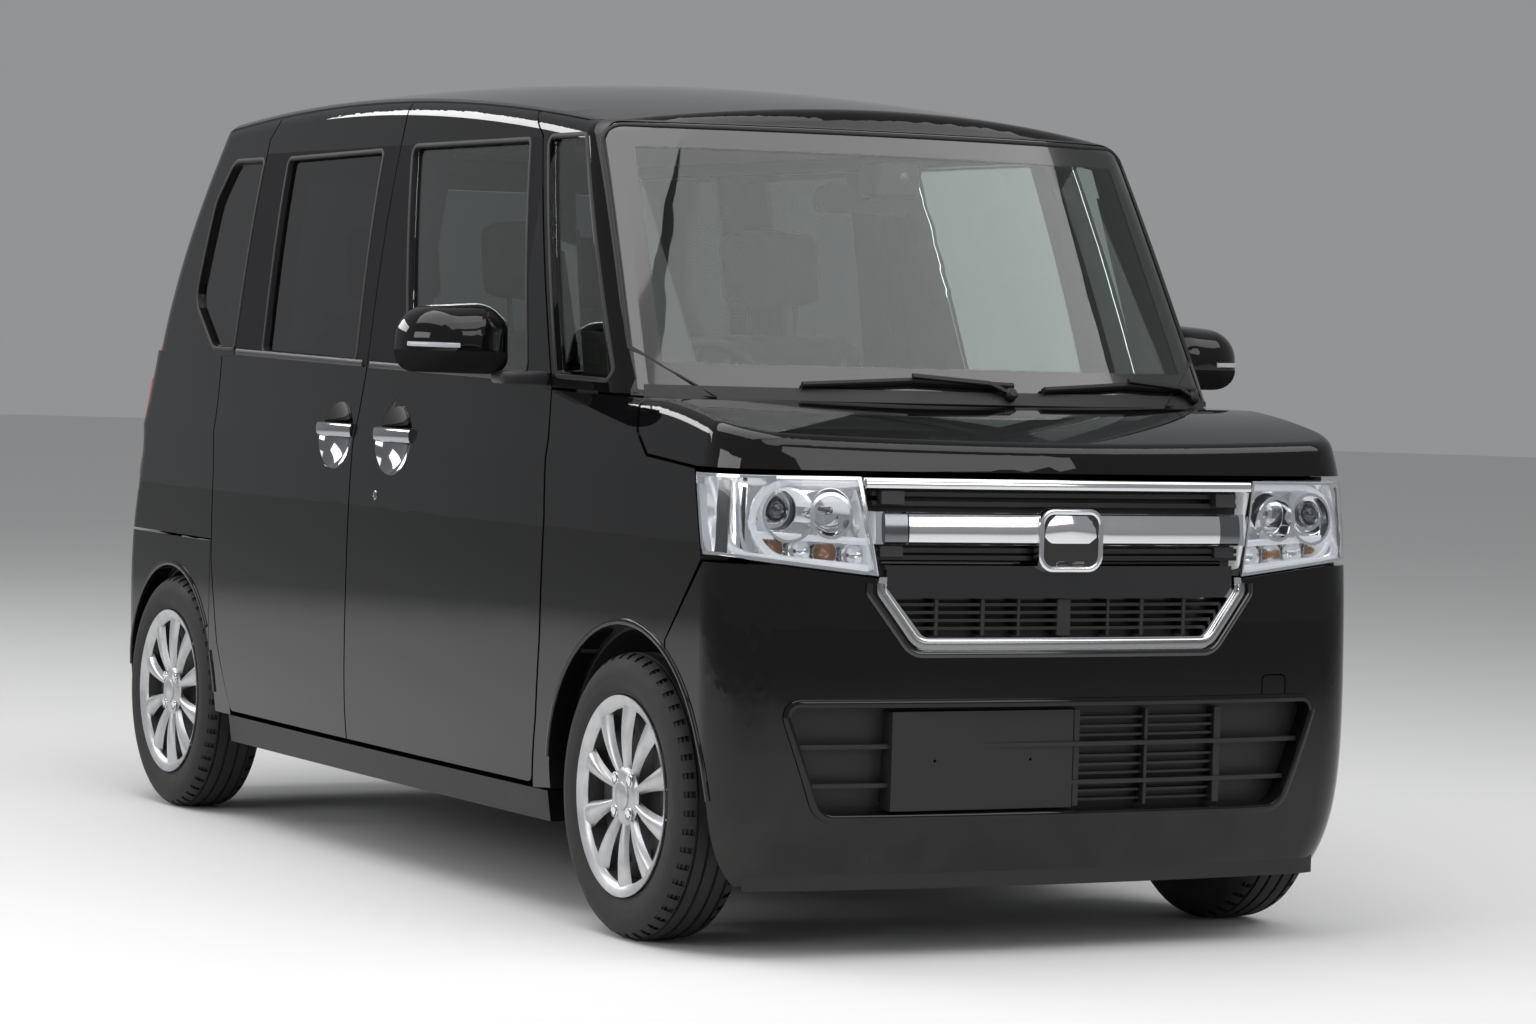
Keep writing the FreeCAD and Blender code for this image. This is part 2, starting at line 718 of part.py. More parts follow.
GRILLE_TOP = 914
GRILLE_FOOT = 590
GRILLE_OPENING = [(436, GRILLE_TOP), (404, 728), (412, 700), (323, GRILLE_FOOT, 30)]
GRILLE_DEPTH = 44
BAR_LEVELS = (790, 851)
PANEL_LEVELS = (689, 750)
BOSS_Z, BOSS_RADIUS = 800, 58
INTAKE_OPENING = [(591, 482, 20), (512, 280, 40)]


def nose_prism(corners):
    return front_prism(both_sides(corners), 1380, FAR)


def left_nose(corners):
    return front_prism(corners, 1380, FAR)


def front_bumper():
    side = [(BUMPER_SEAM_FRONT[0][0] + gap, 100), (BUMPER_SEAM_FRONT[0][0] + gap, BUMPER_SEAM_FRONT[0][1]),
            (BUMPER_SEAM_FRONT[1][0] + gap, BUMPER_SEAM_FRONT[1][1] - gap), (FAR, 752 - gap), (FAR, 100)]
    skin = shell(0, car.bumper_depth, "lower").common(side_prism(side, -FAR, FAR))
    lamp_zone = nose_prism([(404 - gap, 900), (404 - gap, 728 - gap), (700, 762 - gap), (900, 762), (900, 900)])
    openings = [nose_prism(GRILLE_OPENING), nose_prism(INTAKE_OPENING), lamp_zone, arch_voids]
    for opening in openings:
        skin = skin.cut(opening)
    return skin


def rear_bumper():
    side = [(STRIP_X - gap, REAR_SEAM_Z - gap), (-1580, REAR_SEAM_Z - gap), (-FAR, HATCH_FOOT - gap), (-FAR, 100), (-1400, 180),
            (STRIP_X - gap, 200)]
    skin = shell(0, car.bumper_depth, "lower").common(side_prism(side, -FAR, FAR)).cut(arch_voids)
    hatch_zone = block(-FAR, -1500, -HATCH_HALF - gap, HATCH_HALF + gap, HATCH_FOOT - gap, FAR)
    return skin.cut(hatch_zone)


def bar(z0, z1, half, outer, inner):
    return shell(outer, inner, "lower").common(block(1500, FAR, -half, half, z0, z1))


def grille_trim():
    """Bright bars, a plain boss in the middle and the bright line under the intake."""
    top = bar(899, GRILLE_TOP, 433, 2, GRILLE_DEPTH)
    middle = bar(BAR_LEVELS[0], BAR_LEVELS[1], 412, 0, GRILLE_DEPTH)
    boss = rod((half_length - 50, 0, BOSS_Z), (half_length - 2, 0, BOSS_Z), BOSS_RADIUS)
    boss = boss.cut(rod((half_length - 7, 0, BOSS_Z), (half_length, 0, BOSS_Z), BOSS_RADIUS - 9))
    outer = nose_prism(GRILLE_OPENING)
    inset = [(436, GRILLE_TOP + 1), (388, 730), (390, 708), (312, GRILLE_FOOT + 24, 24)]
    line = shell(0, GRILLE_DEPTH, "lower").common(outer).cut(nose_prism(inset))
    line = line.common(block(1500, FAR, -FAR, FAR, 0, 728))
    return Part.makeCompound([top, middle.fuse(boss), line])


def grille():
    """The dark backing with its slats, and the gloss panel between the two intakes."""
    back = shell(GRILLE_DEPTH, 60, "lower").common(nose_prism(GRILLE_OPENING))
    slats = [bar(z, z + 9, 408, 20, GRILLE_DEPTH) for z in (862, 880, 760, 774)]
    low_slats = [bar(z, z + 6, 372 - (673 - z), 16, GRILLE_DEPTH) for z in (628, 643, 658, 673)]
    panel = bar(PANEL_LEVELS[0], PANEL_LEVELS[1], 386, 6, GRILLE_DEPTH)
    return fuse([back] + slats + low_slats + [panel]).cut(trim)


PLATE_SEAT_Y = -173
PLATE_SEAT_Z = 380


def intake():
    """The bumper's lower opening: blank sides with fins, a flat plate seat and a slatted middle."""
    back = shell(40, 52, "lower").common(nose_prism(INTAKE_OPENING))
    seat = block(half_length - 56, half_length - 14, -372, 26, 286, 474)
    fins = [bar(z, z + 8, 511 + (z - 280) * 0.39, 10, 46) for z in (330, 404)]
    bars = [bar(z, z + 5, 372, 24, 46) for z in (296, 313, 347, 364, 381, 421, 438, 455)]
    guard = fuse([back, seat] + fins + bars)
    for way in (1, -1):
        guard = guard.cut(plate_hole(half_length - 14, PLATE_SEAT_Y + way * car.plate_bolt_pitch / 2, PLATE_SEAT_Z))
    return guard


feature("front_bumper", front_bumper())
feature("rear_bumper", rear_bumper())
trim = grille_trim()
feature("grille_trim", trim)
feature("grille", grille())
feature("intake_grille", intake())


def headlamp_zone(ease):
    """The lamp between grille, bonnet, fender and bumper."""
    front = left_nose([(436 + ease, 918 - ease), (404 + ease, 728 + ease), (700, 762 + ease), (900, 762 + ease),
                       (900, 918 - ease)])
    side = side_prism([(LAMP_REAR[0][0] + ease, LAMP_REAR[0][1]), (LAMP_REAR[1][0] + ease, LAMP_REAR[1][1]),
                       (LAMP_REAR[1][0] + ease, 700), (FAR, 700), (FAR, 925)], 0, FAR)
    return front.common(side)


def headlamp_lens():
    return shell(0, 4, "lower").common(headlamp_zone(2))


def headlamp_body():
    """The housing behind the lens with two round reflectors."""
    housing = shell(60, 72, "lower").common(headlamp_zone(4))
    rim = shell(4.3, 72, "lower").common(headlamp_zone(2)).cut(headlamp_zone(8))
    shapes = [housing, rim]
    for y, radius in ((500, 44), (585, 52)):
        outer = rod((half_length - 112, y, 842), (half_length - 40, y, 842), radius)
        shapes.append(outer.cut(rod((half_length - 90, y, 842), (half_length, y, 842), radius - 6)))
    return fuse(shapes).common(hull(4.3, "lower"))


lens, lamp_body = headlamp_lens(), headlamp_body()
feature("headlamp_lenses", Part.makeCompound([lens, mirrored(lens)]))
feature("headlamps", Part.makeCompound([lamp_body, mirrored(lamp_body)]))

tail_lamp = block(-FAR, LAMP_FRONT_X - seat_gap, HATCH_HALF + gap, FAR, LAMP_LEVELS[0] + seat_gap,
                  LAMP_LEVELS[1] - seat_gap).common(shell(0, car.door_depth, *SIDES))
feature("tail_lamps", Part.makeCompound([tail_lamp, mirrored(tail_lamp)]))

# Inner structure: floor, sills, pillars, bulkhead and wheel liners


def skin_member(x0, x1, z0, z1, depth):
    """A pillar that follows the skin just inside the doors."""
    first = car.door_depth + car.shut_gap
    return shell(first, first + depth, *SIDES).common(block(x0, x1, 500, FAR, z0, z1))


def hinge_knuckle(level):
    low, high = level - KNUCKLE_TALL / 2, level + KNUCKLE_TALL / 2
    barrel = rod((car.hinge_x, car.hinge_y, low), (car.hinge_x, car.hinge_y, high), KNUCKLE_RADIUS)
    arm = block(car.hinge_x - 9, car.hinge_x + 4, SILL_OUTER_Y - 6, car.hinge_y, low, high)
    bore = rod((car.hinge_x, car.hinge_y, low), (car.hinge_x, car.hinge_y, high),
               (car.hinge_pin + car.pin_clearance) / 2)
    return barrel.fuse(arm).cut(bore)


def side_frame():
    sill = block(-940, 905, SILL_INNER_Y, SILL_OUTER_Y, SILL_FOOT, 330)
    rocker = shell(8, 110, "lower").common(block(-905, 880, 500, FAR, SILL_FOOT, SILL_TOP))
    hinge_post = block(770, 850, 575, SILL_OUTER_Y, 330, PILLAR_Z)
    post_tie = block(850, 905, 575, SILL_OUTER_Y, 860, 960)
    middle_post = skin_member(-215, -85, 300, 1600, 44)
    rail = block(-1240, 700, 480, 530, *RAIL_LEVELS)
    inside_doors = hull(car.door_depth + car.shut_gap, "cabin")
    middle_tie = block(-215, -85, 530, FAR, *RAIL_LEVELS).common(inside_doors)
    end_ties = [block(x0, x1, 530, FAR, *RAIL_LEVELS).common(hull(car.door_depth, "cabin"))
                for x0, x1 in ((560, 640), (-1120, -1040))]
    knuckles = [hinge_knuckle(level) for level in HINGE_LEVELS]
    return fuse([sill, rocker, hinge_post, post_tie, middle_post, rail, middle_tie] + end_ties + knuckles)


frame_left = side_frame()
feature("side_frame_left", frame_left)
feature("side_frame_right", mirrored(frame_left))

floor = primitive("Box", "FloorPlate", x="-960", y="-560", z="Sizes.floor_height - Sizes.floor_thickness",
                  Length="1865", Width="1120", Height="Sizes.floor_thickness")
toe = primitive("Box", "ToeBoard", x="905 - Sizes.floor_thickness", y="-560", z="Sizes.floor_height - Sizes.floor_thickness",
                Length="Sizes.floor_thickness", Width="1120", Height="420")
kick = primitive("Box", "KickUp", x="-990", y="-400", z="Sizes.floor_height - Sizes.floor_thickness",
                 Length="Sizes.floor_thickness", Width="800",
                 Height="Sizes.load_floor - Sizes.floor_height + Sizes.floor_thickness")
load = primitive("Box", "LoadFloor", x="-1600", y="-400", z="Sizes.load_floor - Sizes.floor_thickness",
                 Length="640", Width="800", Height="Sizes.floor_thickness")
quarter_inner = doc.addObject("Part::Feature", "QuarterInner")
quarter_inner.Shape = hull(car.door_depth, "lower").common(block(-1600, -990, -FAR, FAR, 596, 612))
beam_inner = doc.addObject("Part::Feature", "RearBeam")
beam_inner.Shape = hull(car.bumper_depth, "lower").common(block(-FAR, -1590, -500, 500, 470, 560))
posts = primitive("Box", "ShelfPost", x="-1600", y="-400", z="Sizes.load_floor", Length="40", Width="800",
                  Height="596 - Sizes.load_floor")
keep("floor_pan", join("FloorPan", floor, toe, kick, load, quarter_inner, beam_inner, posts))


def wheel_liners():
    """Thin arches over each tyre, closed inboard at the rear."""
    wall = 6
    shapes = []
    for axle_x, radius in arches.items():
        y1 = half_width - 56
        outer = rod((axle_x, ARCH_INNER_Y, hub_height), (axle_x, y1, hub_height), radius - seat_gap)
        inner = rod((axle_x, 0, hub_height), (axle_x, half_width, hub_height), radius - 1 - wall)
        liner = outer.cut(inner).common(block(-FAR, FAR, 0, FAR, hub_height - 30, FAR))
        if axle_x > 0:
            liner = liner.cut(rod((axle_x, 512, 500), (axle_x, 512, 700), 62))
        liner = liner.common(hull(car.bumper_depth + 2, "lower"))
        shapes += [liner, mirrored(liner)]
    return Part.makeCompound(shapes)


feature("wheel_liners", wheel_liners())


def bulkhead():
    """Firewall, cowl, strut towers, nose frame and the bonnet's hinge lugs."""
    wall = block(905, 925, -550, 550, 300, 900).cut(arch_voids)
    cowl = block(905, 1195, -615, 615, 900, 925)
    cross = block(1540, FAR, -600, 600, 700, 780).common(hull(72, "lower"))
    beam = block(1585, FAR, -560, 560, 500, 570).common(hull(car.bumper_depth, "lower"))
    parts = [wall, cowl, cross, beam]
    x, z = car.bonnet_hinge_x, car.bonnet_hinge_z
    bore = rod((x, -FAR, z), (x, FAR, z), (BONNET_PIN + car.pin_clearance) / 2)
    for way in (1, -1):
        def span(x0, x1, inner, outer, z0, z1):
            return block(x0, x1, min(way * inner, way * outer), max(way * inner, way * outer), z0, z1)

        parts.append(rod((car.front_axle_x, way * 512, 770), (car.front_axle_x, way * 512, 800), 85))
        parts.append(span(925, 1600, 384, 402, 640, 800))
        parts.append(span(1150, 1340, 380, FAR, 790, 810).common(hull(car.door_depth, "lower")))
        parts.append(span(905 + seat_gap, 1140, 562, FAR, 900, 1072).common(hull(car.door_depth, *SIDES)))
        parts.append(span(1560, 1600, 340, 380, 300, 700))
        lug = span(x - 9, x + 9, 585, 615, 925, z).fuse(rod((x, way * 585, z), (x, way * 615, z), 9))
        parts.append(lug.cut(bore))
    tray = shell(30, 46, "nose").common(block(1150, 1330, -570, 570, 985, 1045)).common(cowl_cut(0))
    tray_post = block(1152, 1190, -500, 500, 925, 1024)
    return fuse(parts + [tray, tray_post])


feature("bulkhead", bulkhead())

# Mirrors, wipers and cabin fittings


MIRROR_FACE_X, MIRROR_NOSE_X = 692, 812
MIRROR_OUTLINE = [(756, 1082, 24), (990, 1084, 34), (984, 1214, 66), (800, 1227, 60), (758, 1190, 30)]


def door_mirror():
    """A domed head that is rounded ahead, on an arm from the corner of the window."""
    head = front_prism(MIRROR_OUTLINE, MIRROR_FACE_X, MIRROR_NOSE_X)
    front_edges = [e for e in head.Edges if e.BoundBox.XMin > MIRROR_NOSE_X - 1]
    head = head.makeFillet(22, front_edges)
    arm = block(742, 800, 690, 800, 1064, 1090)
    return fuse([head, arm]).cut(hull(0, "shoulder", "cabin"))


mirror_left = door_mirror()
feature("mirror_left", mirror_left)
feature("mirror_right", mirrored(mirror_left))


STEER_CENTRE = Vector(690, -330, 1010)
STEER_TILT = 62
STEER_HUB_BACK = 30


def on_column(along):
    """A point on the steering axis; positive is towards the driver."""
    tilt = math.radians(STEER_TILT)
    return STEER_CENTRE + Vector(-math.sin(tilt), 0, math.cos(tilt)) * along


def dashboard():
    """The fascia over the firewall with the steering column's shroud."""
    side = [(800, 958, 30), (815, 700), (905, 700), (905, 925), (1100, 925), (1128, 1026), (1060, 1036), (880, 1006, 40)]
    body = side_prism(side, -560, 560)
    column = rod(on_column(-150), on_column(-STEER_HUB_BACK - seat_gap), 36)
    return body.fuse(column)


feature("dashboard", dashboard())


def seat(y, x, wide, cushion_z):
    """Cushion, back and headrest of one seat."""
    half = wide / 2
    cushion = rounded_block(x - 250, x + 250, y - half, y + half, cushion_z - 130, cushion_z, 45)
    back = rounded_block(-55, 55, y - half, y + half, 0, 600, 45)
    back.rotate(Vector(), Y_AXIS, -14)
    back.translate(Vector(x - 235, 0, cushion_z - 60))
    rest = rounded_block(-45, 45, y - 130, y + 130, 0, 190, 40)
    rest.rotate(Vector(), Y_AXIS, -12)
    rest.translate(Vector(x - 385, 0, cushion_z + 555))
    stems = [rod((x - 378, y + way * 60, cushion_z + 480), (x - 392, y + way * 60, cushion_z + 580), 6)
             for way in (1, -1)]
    base = block(x - 200, x + 190, y - half + 60, y + half - 60, car.floor_height, cushion_z - 100)
    return fuse([cushion, back, rest, base] + stems)


SEAT_HEIGHT = 680
feature("front_seats", Part.makeCompound([seat(way * car.seat_offset * 0.92, 250, 480, SEAT_HEIGHT)
                                          for way in (1, -1)]))
feature("rear_seat", Part.makeCompound([seat(way * 260, -640, 500, SEAT_HEIGHT - 10) for way in (1, -1)]))

# Engine, cooling, tank and exhaust as plain blocks and pipes

keep("engine", primitive("Box", "Engine", x="1010", y="-300", z="235", Length="430", Width="600", Height="430"))
keep("radiator", primitive("Box", "Radiator", x="1545", y="-330", z="300", Length="34", Width="660",
                           Height="370"))
keep("fuel_tank", primitive("Box", "FuelTank", x="-120", y="-330", z="165", Length="620", Width="660",
                            Height="Sizes.floor_height - Sizes.floor_thickness - 165"))
EXHAUST_Y = 410
EXHAUST_Z = 205


def exhaust():
    pipe = rod((-1330, EXHAUST_Y, EXHAUST_Z), (960, EXHAUST_Y, EXHAUST_Z), 20)
    riser = rod((-1330, EXHAUST_Y, EXHAUST_Z), (-1450, 350, 300), 20)
    silencer = rod((-1460, -200, 310), (-1460, 370, 310), 78)
    tail = rod((-1460, 320, 250), (-1580, 330, 205), 19)
    under_floor = car.floor_height - car.floor_thickness
    hangers = [block(x - 6, x + 6, EXHAUST_Y - 6, EXHAUST_Y + 6, EXHAUST_Z, under_floor) for x in (-800, 100)]
    hangers.append(block(-1466, -1454, -60, 60, 380, car.load_floor - car.floor_thickness))
    return fuse([pipe, silencer, riser, tail] + hangers)


feature("exhaust", exhaust())

# Running gear

KINGPIN_LOW = (585, 170)
KINGPIN_HIGH = (512, 756)
BALL_RADIUS = 16
TOP_BEARING_RADIUS = 14
SPINDLE_END_Y = half_track - 8 - seat_gap


def subframe():
    """Cross member and lower arms whose cups carry the steered ball joints."""
    cross = block(1120, 1330, -330, 330, 170, 235)
    parts = [cross]
    cup_top = KINGPIN_LOW[1] - BALL_RADIUS - seat_gap
    for way in (1, -1):
        ball = (car.front_axle_x, way * (KINGPIN_LOW[0] - 8), cup_top - 14)
        parts.append(rod((car.front_axle_x, way * KINGPIN_LOW[0], cup_top - 24),
                         (car.front_axle_x, way * KINGPIN_LOW[0], cup_top), 22))
        parts.append(rod((car.front_axle_x, way * 320, 200), ball, 14))
        parts.append(rod((1040, way * 320, 200), ball, 13))
        parts.append(block(1025, 1130, min(way * 335, way * 290), max(way * 335, way * 290), 180, 220))
        parts.append(block(905, 1600, way * 350 - 30, way * 350 + 30, 235, 300))
    return fuse(parts)


def rear_beam():
    """The beam axle with trailing arms, spring seats and spindles."""
    arm_radius = 24
    arm_end = car.floor_height - car.floor_thickness - 50
    beam = rod((rear_axle_x, -SPINDLE_END_Y, hub_height), (rear_axle_x, SPINDLE_END_Y, hub_height), 30)
    parts = [beam]
    for way in (1, -1):
        parts.append(rod((rear_axle_x, way * 500, hub_height), (-900, way * 500, arm_end), arm_radius))
        parts.append(block(-918, -890, way * 500 - 20, way * 500 + 20, arm_end, arm_end + 50 - seat_gap))
        parts.append(rod((rear_axle_x, way * 580, hub_height), (rear_axle_x, way * 632, hub_height), 96))
        parts.append(rod((rear_axle_x, way * 350, hub_height),
                         (rear_axle_x, way * 350, car.load_floor - car.floor_thickness), 38))
    return fuse(parts)


feature("front_subframe", subframe())
feature("rear_axle_beam", rear_beam())


def knuckle():
    """Hub carrier with its ball below and its strut and top bearing above."""
    x = car.front_axle_x
    low, high = Vector(x, *KINGPIN_LOW), Vector(x, *KINGPIN_HIGH)
    stud = rod(low, low + high.sub(low).normalize() * 110, 12)
    ball = Part.makeSphere(BALL_RADIUS, low)
    carrier = rod((x, 566, hub_height), (x, 634, hub_height), 50)
    spindle = rod((x, 600, hub_height), (x, SPINDLE_END_Y, hub_height), 26)
    clamp = block(x - 30, x + 30, 510, 592, hub_height + 10, 400)
    strut = rod((x, 530, 370), (x, KINGPIN_HIGH[0] + 0.7, KINGPIN_HIGH[1] - 6), 22)
    bearing = Part.makeSphere(TOP_BEARING_RADIUS - seat_gap, high)
    spring = rod((x, 519, 600), (x, 513, 738), 50)
    caliper = block(x + 60, x + 108, 598, 640, hub_height - 50, hub_height + 50)
    bridge = block(x + 20, x + 80, 596, 622, hub_height - 20, hub_height + 20)
    return fuse([stud, ball, carrier, spindle, clamp, strut, bearing, spring, caliper, bridge])


knuckle_left = knuckle()
feature("knuckle_front_left", knuckle_left)
feature("knuckle_front_right", mirrored(knuckle_left))


def tyre():
    """A tyre about its own Y axis: bead seats, bulged walls and rounded shoulders."""
    radius, half, bead = car.tyre_diameter / 2, car.tyre_width / 2, car.bead_diameter / 2
    seat = half - 21
    profile = [(bead, -seat), (bead + 22, -seat - 5), (radius - 46, -half, 30), (radius, -half + 9, car.tyre_shoulder)]
    wire = rounded_wire(profile + [(r, -y) + tuple(rest) for r, y, *rest in reversed(profile)],
                        lambda p: Vector(p.x, p.y, 0))
    return Part.Face(wire).revolve(Vector(), Y_AXIS, 360)


def wheel():
    """Rim barrel, disc, brake disc and the spoked cover about its own Y axis, outer face at +Y."""
    bead, half = car.bead_diameter / 2, car.tyre_width / 2
    wall = car.barrel_wall
    barrel = Part.makeCylinder(bead - seat_gap, 2 * half - 36, Vector(0, -half + 18, 0), Y_AXIS)
    barrel = barrel.cut(Part.makeCylinder(bead - wall, 4 * half, Vector(0, -2 * half, 0), Y_AXIS))
    face = half - 14
    ring = Part.makeCylinder(car.cover_diameter / 2, 10, Vector(0, face, 0), Y_AXIS)
    ring = ring.cut(Part.makeCylinder(car.cover_diameter / 2 - 24, 30, Vector(0, face - 10, 0), Y_AXIS))
    disc = Part.makeCylinder(bead - wall + 2, 6, Vector(0, face - 34, 0), Y_AXIS)
    hub = Part.makeCylinder(car.hub_diameter / 2, 44, Vector(0, face - 38, 0), Y_AXIS)
    rotor = Part.makeCylinder(car.disc_diameter / 2, car.disc_thickness, Vector(0, -4, 0), Y_AXIS)
    stub = Part.makeCylinder(34, face, Vector(0, -8, 0), Y_AXIS)
    spokes = []
    for index in range(int(car.spoke_count)):
        outline = [(-13, 40), (13, 40), (27, car.cover_diameter / 2 - 16), (-27, car.cover_diameter / 2 - 16)]
        spoke = Part.Face(rounded_wire(outline, lambda p: Vector(p.x, face - 6, p.y)))
        spoke = spoke.extrude(Vector(0, 14, 0))
        spoke.rotate(Vector(), Y_AXIS, 360 / car.spoke_count * index)
        spokes.append(spoke)
    return fuse([barrel, ring, disc, hub, rotor, stub] + spokes)


tyre_shape, wheel_shape = tyre(), wheel()
CORNERS = [("front", car.front_axle_x), ("rear", rear_axle_x)]
for end, axle_x in CORNERS:
    for side_name, way in (("left", 1), ("right", -1)):
        at = Placement(Vector(axle_x, way * half_track, hub_height), Rotation(Z_AXIS, 0 if way > 0 else 180))
        for kind, shape in (("tyre_", tyre_shape), ("wheel_", wheel_shape)):
            obj = feature(kind + end + "_" + side_name, shape)
            obj.Placement = at

# Steering wheel on its column, on the right as in a right-hand-drive car


def steering_wheel():
    grip = Part.makeTorus((car.steering_rim - car.steering_grip) / 2, car.steering_grip / 2)
    hub = Part.makeCylinder(70, 10 + STEER_HUB_BACK, Vector(0, 0, -STEER_HUB_BACK))
    spokes = [block(-168, 168, -18, 18, -12, 6), block(-16, 16, -168, 0, -12, 6)]
    shape = fuse([grip, hub] + spokes)
    shape.rotate(Vector(), Z_AXIS, -90)
    shape.rotate(Vector(), Y_AXIS, -STEER_TILT)
    shape.translate(STEER_CENTRE)
    return shape


feature("steering_wheel", steering_wheel())

doc.recompute()
for obj in doc.Objects:
    if "Invalid" in obj.State or "Error" in obj.State:
        raise RuntimeError(f"{obj.Label} failed: {obj.State}")
for name, obj in pieces.items():
    if obj.Shape.isNull() or not obj.Shape.isValid():
        raise RuntimeError(f"{name} has no valid shape")

os.makedirs("parts", exist_ok=True)
for name, obj in pieces.items():
    obj.Shape.exportStep(f"parts/{name}.step")
print(len(pieces), "pieces")
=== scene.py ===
import math

import bmesh
import bpy
from mathutils import Matrix, Vector
from mathutils.bvhtree import BVHTree
from mathutils.interpolate import poly_3d_calc


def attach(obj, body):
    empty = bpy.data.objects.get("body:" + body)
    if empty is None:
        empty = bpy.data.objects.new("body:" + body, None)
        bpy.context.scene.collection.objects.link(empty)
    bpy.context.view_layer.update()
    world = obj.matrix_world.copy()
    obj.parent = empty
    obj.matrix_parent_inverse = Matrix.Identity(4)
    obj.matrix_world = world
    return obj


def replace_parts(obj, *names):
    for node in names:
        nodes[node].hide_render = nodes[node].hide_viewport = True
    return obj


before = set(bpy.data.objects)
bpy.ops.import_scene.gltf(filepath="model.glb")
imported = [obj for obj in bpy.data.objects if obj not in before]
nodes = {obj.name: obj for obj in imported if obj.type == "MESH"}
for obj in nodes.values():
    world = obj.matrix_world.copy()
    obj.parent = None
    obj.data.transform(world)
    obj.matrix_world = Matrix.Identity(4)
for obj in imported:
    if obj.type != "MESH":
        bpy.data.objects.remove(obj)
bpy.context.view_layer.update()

# Sizes in metres, taken from the frame where it has them

AXLES = {"front": 1.2436, "rear": -1.2764}
HALF_TRACK = 0.6525
HUB_HEIGHT = 0.2785
SIDES = {"left": 1, "right": -1}
BELT_HEIGHT, BELT_SLOPE = 1.072, 0.0175
AHEAD, UP = Vector((1, 0, 0)), Vector((0, 0, 1))

# Camera, as solved from the photograph

CAMERA_PLACE = Vector((9.24035, -4.59890, 1.17463))
CAMERA_YAW, CAMERA_PITCH, CAMERA_ROLL = (math.radians(a) for a in (152.406, -2.1838, 1.6036))
CAMERA_LENS = 107.995
CAMERA_SENSOR = 36


def linked(name, data):
    """A new object in the scene."""
    obj = bpy.data.objects.new(name, data)
    bpy.context.scene.collection.objects.link(obj)
    return obj


def add_camera():
    data = bpy.data.cameras.new("photo_camera")
    data.lens = CAMERA_LENS
    data.sensor_width = CAMERA_SENSOR
    camera = linked("photo_camera", data)
    level = math.cos(CAMERA_PITCH)
    ahead = Vector((level * math.cos(CAMERA_YAW), level * math.sin(CAMERA_YAW), math.sin(CAMERA_PITCH)))
    right = ahead.cross(UP).normalized()
    up = right.cross(ahead)
    turned_right = right * math.cos(CAMERA_ROLL) + up * math.sin(CAMERA_ROLL)
    turned_up = up * math.cos(CAMERA_ROLL) - right * math.sin(CAMERA_ROLL)
    turn = Matrix((turned_right, turned_up, -ahead)).transposed().to_4x4()
    camera.matrix_world = Matrix.Translation(CAMERA_PLACE) @ turn
    bpy.context.scene.camera = camera


def add_lamp(name, place, target, size, power):
    data = bpy.data.lights.new(name, "AREA")
    data.shape = "RECTANGLE"
    data.size, data.size_y = size
    data.energy = power
    lamp = linked(name, data)
    lamp.location = place
    lamp.rotation_euler = (Vector(target) - Vector(place)).to_track_quat("-Z", "Y").to_euler()


# Materials: a number in a node tree that plain expressions can use


class Number:
    def __init__(self, finish, socket):
        self.finish = finish
        self.socket = socket

    def math(self, operation, *others):
        return Number(self.finish, self.finish.node("ShaderNodeMath", {"operation": operation},
                                                    self, *others).outputs[0])

    def __add__(self, other):
        return self.math("ADD", other)

    def __radd__(self, other):
        return self.math("ADD", other)

    def __sub__(self, other):
        return self.math("SUBTRACT", other)

    def __rsub__(self, other):
        return self.math("MULTIPLY", -1).math("ADD", other)

    def __mul__(self, other):
        return self.math("MULTIPLY", other)

    def above(self, edge, soft=0.001):
        """1 where the number is above an edge, 0 below it, with a soft step."""
        return ((self - edge) * (1 / soft)).math("ADD", 0.5).clamped()

    def below(self, edge, soft=0.001):
        return 1 - self.above(edge, soft)

    def clamped(self):
        return self.math("MAXIMUM", 0).math("MINIMUM", 1)

    def absolute(self):
        return self.math("ABSOLUTE")

    def sine(self):
        return self.math("SINE")


